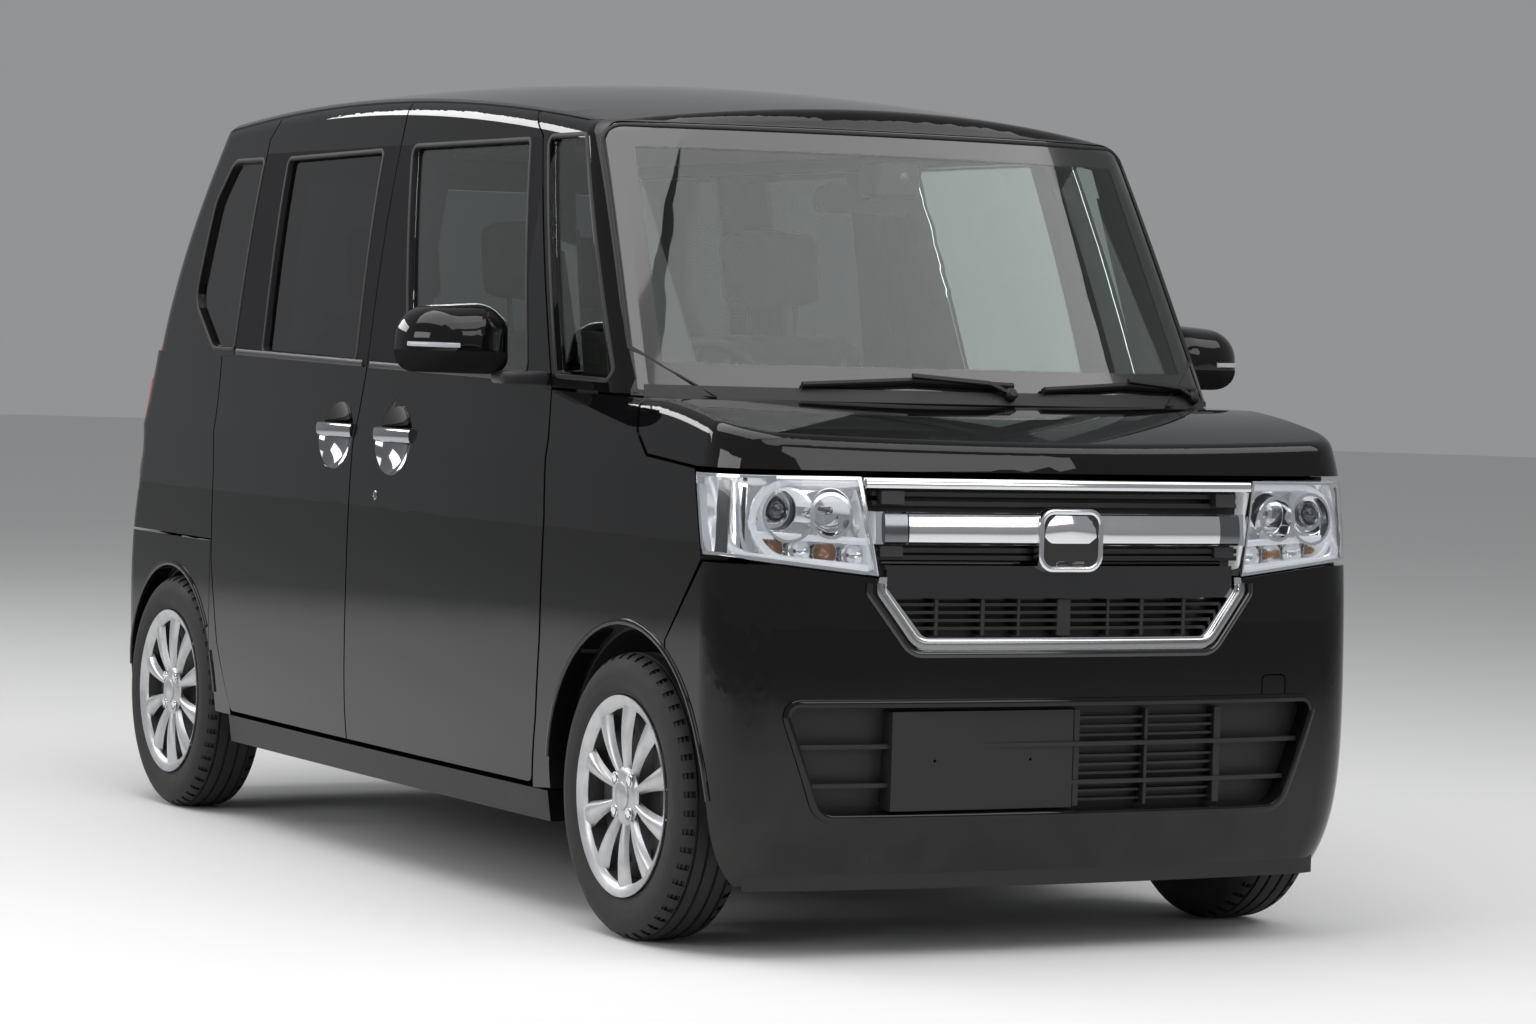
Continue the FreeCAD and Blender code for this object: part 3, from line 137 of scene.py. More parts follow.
class Finish:
    """One material: its node tree around a Principled shader, and the place of a point in metres."""

    def __init__(self, name, **settings):
        self.material = bpy.data.materials.new(name)
        self.material.use_nodes = True
        self.tree = self.material.node_tree
        self.shader = self.tree.nodes["Principled BSDF"]
        self.output = self.tree.nodes["Material Output"]
        self.place = self.node("ShaderNodeTexCoord").outputs["Object"]
        axes = self.node("ShaderNodeSeparateXYZ", {}, self.place)
        self.x, self.y, self.z = (Number(self, axes.outputs[i]) for i in range(3))
        self.set(**settings)

    def node(self, kind, settings=None, *inputs, **named):
        made = self.tree.nodes.new(kind)
        for key, value in (settings or {}).items():
            setattr(made, key, value)
        for key, value in list(enumerate(inputs)) + [(k.replace("_", " "), v) for k, v in named.items()]:
            self.feed(made.inputs[key], value)
        return made

    def feed(self, socket, value):
        if isinstance(value, Number):
            value = value.socket
        if isinstance(value, bpy.types.NodeSocket):
            self.tree.links.new(value, socket)
        elif socket.type == "RGBA" and len(value) == 3:
            socket.default_value = (*value, 1)
        else:
            socket.default_value = value

    def set(self, **settings):
        for key, value in settings.items():
            self.feed(self.shader.inputs[key.replace("_", " ")], value)
        return self

    def noise(self, scale, detail=3.0, roughness=0.5, stretch=None):
        place = self.place
        if stretch:
            place = self.node("ShaderNodeVectorMath", {"operation": "MULTIPLY"}, place, stretch).outputs[0]
        return Number(self, self.node("ShaderNodeTexNoise", {}, Vector=place, Scale=scale, Detail=detail,
                                      Roughness=roughness).outputs["Fac"])

    def cells(self, scale):
        made = self.node("ShaderNodeTexVoronoi", {}, Vector=self.place, Scale=scale)
        return Number(self, made.outputs["Distance"])

    def blend(self, factor, first, second):
        mixer = self.node("ShaderNodeMix", {"data_type": "RGBA"})
        for index, value in ((0, factor), (6, first), (7, second)):
            self.feed(mixer.inputs[index], value)
        return mixer.outputs[2]

    def bump(self, height, distance, strength=1.0):
        made = self.node("ShaderNodeBump", {}, Strength=strength, Distance=distance, Height=height)
        self.feed(self.shader.inputs["Normal"], made.outputs[0])
        return self


PAINT_BLACK = (0.0035, 0.0035, 0.004)
ROAD_DUST = (0.11, 0.10, 0.085)
SATIN_GREY = (0.022, 0.022, 0.024)
CUP_GREY = (0.30, 0.31, 0.33)
CLEAR_TINT = (0.80, 0.87, 0.84)
PRIVACY_TINT = (0.10, 0.105, 0.11)
# White of the lamp's light guide, bezel and divider, also used for their faint painted glow.
GUIDE_WHITE = (0.80, 0.82, 0.85)
HANDLES = {"front": (0.081, 0.940), "rear": (-0.248, 0.942)}
BOWL_HALF = Vector((0.112, 0.060, 0.094))
BOWL_CENTRE_Y = 0.757
BAND_TOP, BAND_FRONT = 1.571, 0.64
CUP_BELOW_GRIP = 0.014
WEAVE = 2600
GRILLE_PANEL = (0.684, 0.757)
MIRROR_PAINT_FOOT = 1.128
CLEAR_PANE_REAR = 0.5
FRIT_HALF, FRIT_FOOT_Z, FRIT_LEAN = 0.650, 1.060, 0.0956
FRIT_SIDE, FRIT_LOW, FRIT_HIGH = 0.045, 1.118, 1.548


def painted(name):
    """Gloss black paint with faint orange peel and road dust low down."""
    finish = Finish(name, Coat_Weight=1.0, Coat_Roughness=0.012, Coat_IOR=1.42, Specular_IOR_Level=0.0)
    dust = finish.z.below(0.30, 0.25) * finish.noise(9, 6).above(0.52, 0.3) * 0.10
    finish.set(Base_Color=finish.blend(dust, PAINT_BLACK, ROAD_DUST), Roughness=0.08 + dust * 1.2)
    finish.bump(finish.noise(260, 1), 0.00002)
    return finish


def door_paint():
    """Paint, with satin bands between the side windows from the belt up to the roof rail."""
    finish = painted("door_paint")
    over_belt = (finish.z + finish.x * BELT_SLOPE).above(BELT_HEIGHT + 0.012)
    under_rail = finish.z.below(BAND_TOP)
    behind_front = finish.x.below(BAND_FRONT)
    band = over_belt * under_rail * behind_front
    cup = 0
    for x, z in HANDLES.values():
        across = (finish.x - x) * (1 / BOWL_HALF.x)
        down = (finish.z - z) * (1 / BOWL_HALF.z)
        inward = (finish.y.absolute() - BOWL_CENTRE_Y) * (1 / BOWL_HALF.y)
        level = across * across + down * down + inward * inward
        on_bowl = level.below(1.02, 0.01) * level.above(0.95, 0.01)
        cup = on_bowl * finish.z.below(z - CUP_BELOW_GRIP) + cup
    colour = finish.blend(cup, finish.blend(band, PAINT_BLACK, SATIN_GREY), CUP_GREY)
    finish.set(Base_Color=colour, Roughness=0.08 + band * 0.34, Metallic=cup, Coat_Weight=1 - band * 0.92)
    return finish


def matte(name, colour, roughness, grain=700, depth=0.00012):
    finish = Finish(name, Specular_IOR_Level=0.4)
    patches = finish.noise(14, 4)
    finish.set(Base_Color=finish.blend(patches, colour, tuple(c * 1.5 for c in colour)),
               Roughness=roughness + (patches - 0.5) * 0.12)
    return finish.bump(finish.cells(grain), depth)


def bright(name, colour=(0.78, 0.79, 0.81), roughness=0.06):
    finish = Finish(name, Metallic=1.0, Base_Color=colour)
    smudges = finish.noise(30, 5)
    return finish.set(Roughness=roughness + smudges * 0.05)


def glazing(name, tint, frit=None):
    """Clear or tinted glass; frit is a mask that is 1 where the glass is printed black."""
    finish = Finish(name, Base_Color=tint, Transmission_Weight=1.0, Roughness=0.0, IOR=1.45)
    if frit:
        black = finish.node("ShaderNodeBsdfPrincipled", {}, Base_Color=(0.004, 0.004, 0.004), Roughness=0.15,
                            Coat_Weight=1.0)
        mixed = finish.node("ShaderNodeMixShader", {}, frit(finish), finish.shader.outputs[0],
                            black.outputs[0])
        finish.tree.links.new(mixed.outputs[0], finish.output.inputs[0])
    return finish


def tyre_rubber():
    finish = Finish("tyre_rubber", Specular_IOR_Level=0.35)
    dust = finish.noise(22, 6).above(0.55, 0.35)
    finish.set(Base_Color=finish.blend(dust * 0.4, (0.014, 0.014, 0.015), (0.045, 0.042, 0.038)),
               Roughness=0.62 + dust * 0.2)
    return finish.bump(finish.noise(420, 3), 0.00025)


def wheel_paint():
    finish = Finish("wheel_silver", Metallic=0.75, Coat_Weight=0.5, Coat_Roughness=0.12)
    flake = finish.noise(1800, 1)
    brake_dust = finish.noise(26, 5).above(0.56, 0.3)
    finish.set(Base_Color=finish.blend(brake_dust * 0.35, (0.52, 0.53, 0.55), (0.2, 0.19, 0.18)),
               Roughness=0.3 + flake * 0.12)
    return finish


def woven(name, colour):
    finish = Finish(name, Sheen_Weight=0.25)
    warp = (finish.y * WEAVE).sine().absolute()
    weft = ((finish.z + finish.x) * WEAVE).sine().absolute()
    shade = finish.noise(40, 4)
    finish.set(Base_Color=finish.blend(shade, colour, tuple(c * 0.6 for c in colour)), Roughness=0.9)
    return finish.bump(warp * weft, 0.0004)


def grille_black():
    """Matte black slats, with the flat panel between the two openings in gloss black."""
    finish = matte("grille_black", (0.008, 0.008, 0.009), 0.45, 1400, 0.00003)
    low, high = GRILLE_PANEL
    panel = finish.z.above(low, 0.002) * finish.z.below(high, 0.002)
    finish.set(Roughness=0.45 - panel * 0.37, Coat_Weight=panel)
    return finish


def mirror_shell():
    """Gloss paint above and grained plastic below."""
    finish = painted("mirror_shell")
    low = finish.z.below(MIRROR_PAINT_FOOT, 0.001)
    finish.set(Base_Color=finish.blend(low, PAINT_BLACK, (0.014, 0.014, 0.015)), Roughness=0.07 + low * 0.42,
               Coat_Weight=1 - low)
    return finish


def side_panes():
    """Privacy glass behind the front doors, clear glass in the corner window ahead of them."""
    finish = glazing("side_panes", PRIVACY_TINT)
    return finish.set(Base_Color=finish.blend(finish.x.above(CLEAR_PANE_REAR), PRIVACY_TINT, CLEAR_TINT))


def windscreen_frit(finish):
    """The printed border: wide at the foot and the top, narrow up the sides."""
    half_width = FRIT_HALF - (finish.z - FRIT_FOOT_Z) * FRIT_LEAN
    side = (half_width - finish.y.absolute()).below(FRIT_SIDE, 0.004)
    foot = finish.z.below(FRIT_LOW, 0.004)
    top = finish.z.above(FRIT_HIGH, 0.006)
    return (side + foot + top).clamped()


FINISHES = {
    "body_paint": painted("body_paint"),
    "door_paint": door_paint(),
    "satin_trim": matte("satin_trim", SATIN_GREY, 0.38, 1500, 0.00003),
    "grained_black": matte("grained_black", (0.012, 0.012, 0.013), 0.5),
    "gloss_black": Finish("gloss_black", Base_Color=(0.004, 0.004, 0.005), Roughness=0.12, Coat_Weight=0.8),
    "sill_black": Finish("sill_black", Base_Color=(0.005, 0.005, 0.006), Roughness=0.32,
                         Specular_IOR_Level=0.2),
    "clear_glass": glazing("clear_glass", CLEAR_TINT),
    "screen_glass": glazing("screen_glass", CLEAR_TINT, windscreen_frit),
    "privacy_glass": glazing("privacy_glass", PRIVACY_TINT),
    "side_panes": side_panes(),
    "lens_clear": glazing("lens_clear", (0.97, 0.98, 1.0)),
    "lens_red": Finish("lens_red", Base_Color=(0.42, 0.004, 0.006), Roughness=0.08, Coat_Weight=1.0,
                       Transmission_Weight=0.25),
    "lens_white": glazing("lens_white", (0.92, 0.93, 0.95)),
    # Light guide white with a faint painted glow: emission that stands in for the light the lens glass keeps
    # off it, not a lit lamp.
    "guide_white_glow": Finish("guide_white_glow", Base_Color=GUIDE_WHITE, Roughness=0.16, Coat_Weight=1.0,
                          Emission_Color=GUIDE_WHITE, Emission_Strength=0.22),
    "lamp_smoke": Finish("lamp_smoke", Base_Color=(0.05, 0.052, 0.055), Roughness=0.2, Coat_Weight=0.6),
    "projector_glass": Finish("projector_glass", Base_Color=(0.02, 0.022, 0.03), Roughness=0.03,
                              Coat_Weight=1.0),
    "amber": Finish("amber", Base_Color=(0.40, 0.16, 0.04), Roughness=0.25, Coat_Weight=0.8),
    "guide_red": Finish("guide_red", Base_Color=(0.62, 0.02, 0.02), Roughness=0.12, Coat_Weight=1.0),
    "thread": matte("thread", (0.30, 0.28, 0.25), 0.8),
    "headliner_cloth": matte("headliner_cloth", (0.42, 0.41, 0.39), 0.9, 900, 0.0003),
    "chrome": bright("chrome"),
    "brushed_trim": bright("brushed_trim", (0.26, 0.265, 0.27), 0.24),
    "smoked_chrome": bright("smoked_chrome", (0.42, 0.43, 0.45), 0.07),
    "indicator_lens": Finish("indicator_lens", Base_Color=(0.42, 0.43, 0.45), Roughness=0.12,
                             Coat_Weight=1.0),
    "dark_chrome": bright("dark_chrome", (0.20, 0.21, 0.22), 0.12),
    "mirror_silver": Finish("mirror_silver", Metallic=1.0, Base_Color=(0.85, 0.87, 0.88), Roughness=0.01),
    "reflector": bright("reflector", (0.86, 0.87, 0.88), 0.08),
    "rubber_black": matte("rubber_black", (0.008, 0.008, 0.008), 0.55, 2400, 0.00003),
    "shadow": Finish("shadow", Base_Color=(0.0, 0.0, 0.0), Roughness=1.0, Specular_IOR_Level=0.0),
    "grille_black": grille_black(),
    "mirror_shell": mirror_shell(),
    "tyre_rubber": tyre_rubber(),
    "wheel_silver": wheel_paint(),
    "under_steel": matte("under_steel", (0.02, 0.02, 0.021), 0.6, 300, 0.0003),
    "cabin_plastic": matte("cabin_plastic", (0.045, 0.043, 0.042), 0.55, 900, 0.0002),
    "seat_cloth": woven("seat_cloth", (0.11, 0.10, 0.09)),
    "cast_alloy": matte("cast_alloy", (0.16, 0.16, 0.16), 0.5, 500, 0.0003),
}


def use(obj, finish):
    obj.data.materials.clear()
    obj.data.materials.append(FINISHES[finish].material)
    return obj


# Pieces made with bmesh


def piece(name, shape, finish, body="car_body", smooth=30):
    """A bmesh becomes a piece that rides on a body; edges over smooth degrees stay sharp."""
    mesh = bpy.data.meshes.new(name)
    shape.to_mesh(mesh)
    shape.free()
    mesh.shade_smooth()
    mesh.set_sharp_from_angle(angle=math.radians(smooth))
    obj = use(linked(name, mesh), finish)
    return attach(obj, body)


def settled(obj):
    """Apply an object's modifiers to its mesh."""
    mesh = bpy.data.meshes.new_from_object(obj.evaluated_get(bpy.context.evaluated_depsgraph_get()))
    obj.modifiers.clear()
    obj.data = mesh


def closed_normals(shape):
    bmesh.ops.remove_doubles(shape, verts=shape.verts, dist=1e-5)
    bmesh.ops.recalc_face_normals(shape, faces=shape.faces)
    return shape


def rotated(shape, angle, axis):
    bmesh.ops.rotate(shape, verts=shape.verts, cent=(0, 0, 0), matrix=Matrix.Rotation(angle, 3, axis))
    return shape


def moved(shape, vec):
    bmesh.ops.translate(shape, verts=shape.verts, vec=vec)
    return shape


# Finishes of the CAD's nodes

PLAIN_NODES = {
    "body_paint": ("bonnet", "roof_panel", "front_bumper", "rear_bumper", "tailgate"),
    "satin_trim": ("screen_surround",),
    "screen_glass": ("windscreen",),
    "side_panes": ("side_glass",),
    "privacy_glass": ("tailgate_glass",),
    "lens_clear": ("headlamp_lenses",),
    "reflector": ("headlamps",),
    "lens_red": ("tail_lamps",),
    "chrome": ("grille_trim",),
    "grille_black": ("grille",),
    "grained_black": ("intake_grille", "fuel_tank", "wheel_liners"),
    "cabin_plastic": ("dashboard", "steering_wheel"),
    "seat_cloth": ("front_seats", "rear_seat"),
    "cast_alloy": ("engine", "radiator"),
    "under_steel": ("front_subframe", "rear_axle_beam", "exhaust", "floor_pan", "bulkhead"),
}
SIDE_NODES = {
    "sill_black": ("side_frame",),
    "body_paint": ("fender", "quarter_panel", "front_pillar"),
    "door_paint": ("sliding_door", "front_door"),
    "mirror_shell": ("mirror",),
    "clear_glass": ("front_door_glass",),
    "under_steel": ("knuckle_front",),
    "tyre_rubber": ("tyre_front", "tyre_rear"),
    "wheel_silver": ("wheel_front", "wheel_rear"),
}
for finish, names in PLAIN_NODES.items():
    for name in names:
        use(nodes[name], finish)
for finish, names in SIDE_NODES.items():
    for name in names:
        for side in SIDES:
            use(nodes[f"{name}_{side}"], finish)

# Where a straight line meets the CAD's surface

END_FAR, SIDE_FAR = 3, 2.1
SEARCH_REACH = 1.4


def surface_of(*names):
    shape = bmesh.new()
    for name in names:
        shape.from_mesh(nodes[name].data)
    tree = BVHTree.FromBMesh(shape)
    shape.free()
    return tree


def placed(tree, start, toward, depth):
    """A point on a surface, or a depth below it, with the direction outwards."""
    hit, normal = tree.ray_cast(start, toward)[:2]
    if hit is None:
        hit, normal = tree.find_nearest(start + toward * SEARCH_REACH)[:2]
    if normal.dot(toward) > 0:
        normal = -normal
    return hit - normal * depth, normal


def front_line(tree, path, depth=0.0):
    return [placed(tree, Vector((END_FAR, y, z)), -AHEAD, depth) for y, z in path]


def rear_line(tree, path, depth=0.0):
    return [placed(tree, Vector((-END_FAR, y, z)), AHEAD, depth) for y, z in path]


def side_line(tree, way, path, depth=0.0):
    return [placed(tree, Vector((x, way * SIDE_FAR, z)), Vector((0, -way, 0)), depth) for x, z in path]


def subdivided(points, spacing, closed):
    pairs = list(zip(points, points[1:])) + ([(points[-1], points[0])] if closed else [])
    whole = []
    for first, second in pairs:
        count = max(1, math.ceil((second - first).length / spacing))
        whole += [first.lerp(second, step / count) for step in range(count)]
    return whole if closed else whole + [points[-1]]


def rounded(corners, closed=False, steps=6, spacing=0.03):
    """Points along a line whose corners are (u, v) or (u, v, radius)."""
    points = []
    for index, corner in enumerate(corners):
        here = Vector(corner[:2])
        if len(corner) < 3:
            points.append(here)
            continue
        back = (Vector(corners[index - 1][:2]) - here).normalized()
        on = (Vector(corners[(index + 1) % len(corners)][:2]) - here).normalized()
        half = back.angle(on) / 2
        reach = corner[2] / math.tan(half)
        centre = here + (back + on).normalized() * (corner[2] / math.sin(half))
        start, end = here + back * reach - centre, here + on * reach - centre
        points += [centre + start.lerp(end, step / steps).normalized() * corner[2]
                   for step in range(steps + 1)]
    return subdivided(points, spacing, closed)


def mirrored_line(corners):
    """A line from the left half over to the right half."""
    return corners + [(-c[0],) + tuple(c[1:]) for c in reversed(corners)]


def flipped(corners, way):
    """A line kept on the left half, or turned over to the right."""
    return [(way * c[0],) + tuple(c[1:]) for c in corners]


def crowned(width, height, sunk=0.002, steps=6):
    """Section of a bar with a rounded face."""
    half = width / 2
    arc = [(-half * math.cos(math.pi * k / steps), height * math.sin(math.pi * k / steps) ** 0.6)
           for k in range(steps + 1)]
    return [(-half, -sunk)] + arc + [(half, -sunk)]


def squared(width, height, sunk=0.002, edge=0.0012):
    """Section of a bar with a flat face and broken edges."""
    half = width / 2
    return [(-half, -sunk), (-half, height - edge), (-half + edge, height), (half - edge, height),
            (half, height - edge), (half, -sunk)]


def rail(places, section, closed=False):
    """A bar along places; its section is a row of (across, outward) points."""
    shape = bmesh.new()
    count = len(places)
    rings = []
    for index, (point, normal) in enumerate(places):
        before = places[index - 1][0] if closed or index else point
        after = places[(index + 1) % count][0] if closed or index < count - 1 else point
        across = normal.cross(after - before).normalized()
        rings.append([shape.verts.new(point + across * a + normal * b) for a, b in section])
    spans = list(zip(rings, rings[1:])) + ([(rings[-1], rings[0])] if closed else [])
    for first, second in spans:
        for k in range(len(section)):
            following = (k + 1) % len(section)
            shape.faces.new((first[k], first[following], second[following], second[k]))
    if not closed:
        shape.faces.new(rings[0][::-1])
        shape.faces.new(rings[-1])
    return closed_normals(shape)


def tube(path, radius, ring=8, closed=False):
    """A round bar along points."""
    section = [(radius * math.cos(2 * math.pi * k / ring), radius * math.sin(2 * math.pi * k / ring))
               for k in range(ring)]
    places = []
    for index, point in enumerate(path):
        along = path[min(index + 1, len(path) - 1)] - path[max(index - 1, 0)]
        side = along.cross(UP)
        side = side.normalized() if side.length > 1e-6 else AHEAD
        places.append((point, side))
    return rail(places, section, closed)


def merge(shapes):
    whole = bmesh.new()
    for shape in shapes:
        mesh = bpy.data.meshes.new("part")
        shape.to_mesh(mesh)
        shape.free()
        whole.from_mesh(mesh)
        bpy.data.meshes.remove(mesh)
    return whole


def turned(profile, steps):
    """A profile of (radius, y) points turned about the Y axis."""
    shape = bmesh.new()
    verts = [shape.verts.new((r, y, 0)) for r, y in profile]
    edges = [shape.edges.new(pair) for pair in zip(verts, verts[1:] + verts[:1])]
    bmesh.ops.spin(shape, geom=verts + edges, cent=(0, 0, 0), axis=(0, 1, 0), angle=2 * math.pi, steps=steps,
                   use_merge=True)
    return closed_normals(shape)


def set_on(shape, place):
    """Move a shape made about the Y axis to a place, with +Y along the direction outwards."""
    point, normal = place
    turn = Vector((0, 1, 0)).rotation_difference(normal).to_matrix()
    bmesh.ops.rotate(shape, verts=shape.verts, cent=(0, 0, 0), matrix=turn)
    return moved(shape, point)


def box(low, high, edge=0.0):
    """A block between two corners, with rounded edges."""
    shape = bmesh.new()
    low, high = Vector(low), Vector(high)
    bmesh.ops.create_cube(shape, size=1)
    for vert in shape.verts:
        vert.co = Vector(((low[k] + high[k]) / 2 + vert.co[k] * (high[k] - low[k]) for k in range(3)))
    if edge:
        bmesh.ops.bevel(shape, geom=shape.edges[:], offset=edge, segments=3, affect="EDGES", profile=0.5)
    return shape


def plate(outline, thickness):
    """A flat plate in the XZ plane from (x, z) points, its face at y = 0 and its wall behind."""
    shape = bmesh.new()
    front = [shape.verts.new((u, 0, v)) for u, v in outline]
    back = [shape.verts.new((u, -thickness, v)) for u, v in outline]
    shape.faces.new(front)
    shape.faces.new(back[::-1])
    for k in range(len(front)):
        following = (k + 1) % len(front)
        shape.faces.new((front[k], back[k], back[following], front[following]))
    return closed_normals(shape)


def to_side(shape, way):
    """Keep a piece made for the left side, or turn it over for the right."""
    if way < 0:
        bmesh.ops.scale(shape, verts=shape.verts, vec=(1, -1, 1))
        bmesh.ops.reverse_faces(shape, faces=shape.faces)
    return shape


def at_wheel(shape, end, way):
    """Move a shape made about the origin, outer face at +Y, to a wheel."""
    if way < 0:
        rotated(shape, math.pi, "Z")
    return moved(shape, (AXLES[end], way * HALF_TRACK, HUB_HEIGHT))


# Tyres: grooves around the tread and short cross grooves in the shoulders

TYRE_RADIUS, BEAD_RADIUS = HUB_HEIGHT, 0.1795
TREAD_CROWN = 0.9
GROOVES = (0.041, 0.0145)
GROOVE_HALF, GROOVE_DEPTH = 0.0036, 0.0065
TYRE_STEPS = 144
SHOULDER = (0.047, 0.0665)
SHOULDER_FOOT = 0.262
CUT_EVERY, CUT_DEPTH = 3, 0.004


def tyre_profile():
    half_outer = [(BEAD_RADIUS, 0.0560), (0.1860, 0.0600), (0.1950, 0.0660), (0.1990, 0.0685),
                  (0.2010, 0.0680), (0.2150, 0.0745), (0.2280, 0.0772), (0.2310, 0.0768),
                  (0.2325, 0.0774), (0.2450, 0.0760),
                  (0.2560, 0.0728), (0.2655, 0.0670), (0.2720, 0.0600), (0.2755, 0.0520), (0.2772, 0.0460)]
    tread = []
    for centre in GROOVES:
        for share, depth in ((1, 0), (0.7, GROOVE_DEPTH), (-0.7, GROOVE_DEPTH), (-1, 0)):
            y = centre + GROOVE_HALF * share
            tread.append((TYRE_RADIUS - TREAD_CROWN * y * y / 2 - depth, y))
    half = half_outer + tread
    return half + [(r, -y) for r, y in reversed(half)]


def add_tyre(end, side):
    shape = turned(tyre_profile(), TYRE_STEPS)
    low, high = SHOULDER
    for face in [f for f in shape.faces if low < abs(f.calc_center_median().y) < high]:
        centre = face.calc_center_median()
        step = int(math.degrees(math.atan2(centre.z, centre.x)) % 360 / 360 * TYRE_STEPS)
        if math.hypot(centre.x, centre.z) > SHOULDER_FOOT and step % CUT_EVERY == 0:
            made = bmesh.ops.extrude_discrete_faces(shape, faces=[face])["faces"][0]
            inward = Vector((centre.x, 0, centre.z)).normalized() * -CUT_DEPTH
            bmesh.ops.translate(shape, verts=made.verts, vec=inward)
    shape = at_wheel(shape, end, SIDES[side])
    made = piece(f"tread_{end}_{side}", shape, "tyre_rubber", f"wheel_{end}_{side}", 34)
    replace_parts(made, f"tyre_{end}_{side}")


# Wheel covers: ten spokes that widen outwards, a lipped rim and a plain cap

SPOKES = 10
RIM_RADIUS = 0.196
COVER_WALL = 0.003
VENTS, VENT_RADIUS, VENT_RING, VENT_FACE = 16, 0.0085, 0.126, 0.0385
LUGS, LUG_RING = 4, 0.045
NUT_DEPTH, WELL_DEPTH = 0.0640, 0.0690
WELL = [(0.0100, 0.0), (0.0125, 0.001), (0.0135, -0.0005), (0.0130, -0.003), (0.0100, -0.003)]


def spoke(turn):
    """One crowned spoke: narrow at the hub, wide where it meets the rim."""
    shape = bmesh.new()
    bmesh.ops.create_grid(shape, x_segments=8, y_segments=14, size=0.5)
    for vert in shape.verts:
        across, along = vert.co.x * 2, vert.co.y + 0.5
        radius = 0.036 + 0.150 * along
        half = 0.0078 + 0.0215 * along ** 1.35
        drop = 0.013 * abs(across) ** 3 + 0.004 * (1 - along) ** 2
        height = 0.0655 + 0.006 * math.sin(math.pi * min(along * 1.05, 1)) - drop
        vert.co = Vector((across * half, height, radius))
    bmesh.ops.recalc_face_normals(shape, faces=shape.faces)
    return rotated(shape, turn, "Y")


def wheel_cover():
    spokes = []
    for index in range(SPOKES):
        one = spoke(2 * math.pi * index / SPOKES)
        if sum(f.normal.y for f in one.faces) < 0:
            bmesh.ops.reverse_faces(one, faces=one.faces)
        bmesh.ops.solidify(one, geom=one.faces[:], thickness=COVER_WALL)
        spokes.append(one)
    rim = turned([(0.1705, 0.0600), (0.1740, 0.0645), (0.1830, 0.0685), (0.1925, 0.0725), (0.1955, 0.0735),
                  (RIM_RADIUS, 0.0722), (0.1950, 0.0690), (0.1800, 0.0640), (0.1720, 0.0570)], 96)
    boss = turned([(0.0, 0.0715), (0.026, 0.0715), (0.0275, 0.0705), (0.0280, 0.0680), (0.0300, 0.0680),
                   (0.0420, 0.0672), (0.0540, 0.0640), (0.0580, 0.0600), (0.0560, 0.0560), (0.0, 0.0560)], 64)
    return merge(spokes + [rim, boss])


def wheel_inner():
    """The dark steel wheel behind the cover: barrel and pierced disc."""
    barrel = turned([(0.1780, -0.0570), (0.1785, 0.0560), (0.1735, 0.0560), (0.1640, 0.0300),
                     (0.1600, -0.0300), (0.1700, -0.0570)], 72)
    disc = turned([(0.0, 0.0300), (0.0800, 0.0260), (0.1100, 0.0360), (0.1400, 0.0380), (0.1600, 0.0300),
                   (0.1600, 0.0250), (0.1380, 0.0320), (0.1100, 0.0300), (0.0, 0.0200)], 72)
    shapes = [barrel, disc]
    for index in range(VENTS):
        hole = bmesh.new()
        bmesh.ops.create_cone(hole, cap_ends=True, segments=16, radius1=VENT_RADIUS, radius2=VENT_RADIUS,
                              depth=0.002)
        moved(rotated(hole, math.pi / 2, "X"), (VENT_RING, VENT_FACE, 0))
        shapes.append(rotated(hole, 2 * math.pi * (index + 0.5) / VENTS, "Y"))
    return merge(shapes)


def lug_nuts():
    shapes = []
    for index in range(LUGS):
        nut = bmesh.new()
        bmesh.ops.create_cone(nut, cap_ends=True, segments=6, radius1=0.0095, radius2=0.0085, depth=0.012)
        rotated(nut, -math.pi / 2, "X")
        for shape, depth in ((nut, NUT_DEPTH), (turned(WELL, 24), WELL_DEPTH)):
            moved(shape, (LUG_RING, depth, 0))
            shapes.append(rotated(shape, math.pi / 2 * (index + 0.5), "Y"))
    return merge(shapes)


def add_wheel(end, side):
    body = f"wheel_{end}_{side}"
    for name, shape, finish in (("cover", wheel_cover(), "wheel_silver"),
                                ("rim", wheel_inner(), "under_steel"),
                                ("lugs", lug_nuts(), "chrome")):
        made = piece(f"{name}_{end}_{side}", at_wheel(shape, end, SIDES[side]), finish, body, 40)
        if name == "cover":
            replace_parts(made, body)


for end in AXLES:
    for side in SIDES:
        add_tyre(end, side)
        add_wheel(end, side)

# Headlamps: light guide, bezel, two bowls above a divider and cells below it

lens_surface = surface_of("headlamp_lenses")
LAMP_GUIDE = [(0.709, 0.908), (0.702, 0.770, 0.045), (0.424, 0.739)]
LAMP_BEZEL = [(0.432, 0.905, 0.012), (0.664, 0.905, 0.080), (0.652, 0.766, 0.080), (0.414, 0.744, 0.008)]
LAMP_DIVIDER = [(0.650, 0.806), (0.428, 0.795)]
LAMP_OUTER = [(0.7210, 0.908), (0.7230, 0.768)]
LAMP_BOWL = [(0.006, -0.030), (0.015, -0.028), (0.028, -0.018), (0.037, -0.004), (0.0405, 0.006),
             (0.0425, 0.006), (0.040, -0.006), (0.029, -0.022), (0.015, -0.032), (0.006, -0.034)]
PROJECTOR_RING = [(0.0195, -0.024), (0.0195, 0.004), (0.0230, 0.007), (0.0268, 0.003), (0.0275, -0.024)]
PROJECTOR_LENS = [(0.0, 0.014), (0.007, 0.013), (0.014, 0.009), (0.0192, 0.001), (0.0192, -0.006),
                  (0.0, -0.006)]
BULB = [(0.0, 0.004), (0.005, 0.003), (0.0075, -0.002), (0.0075, -0.026), (0.0, -0.026)]
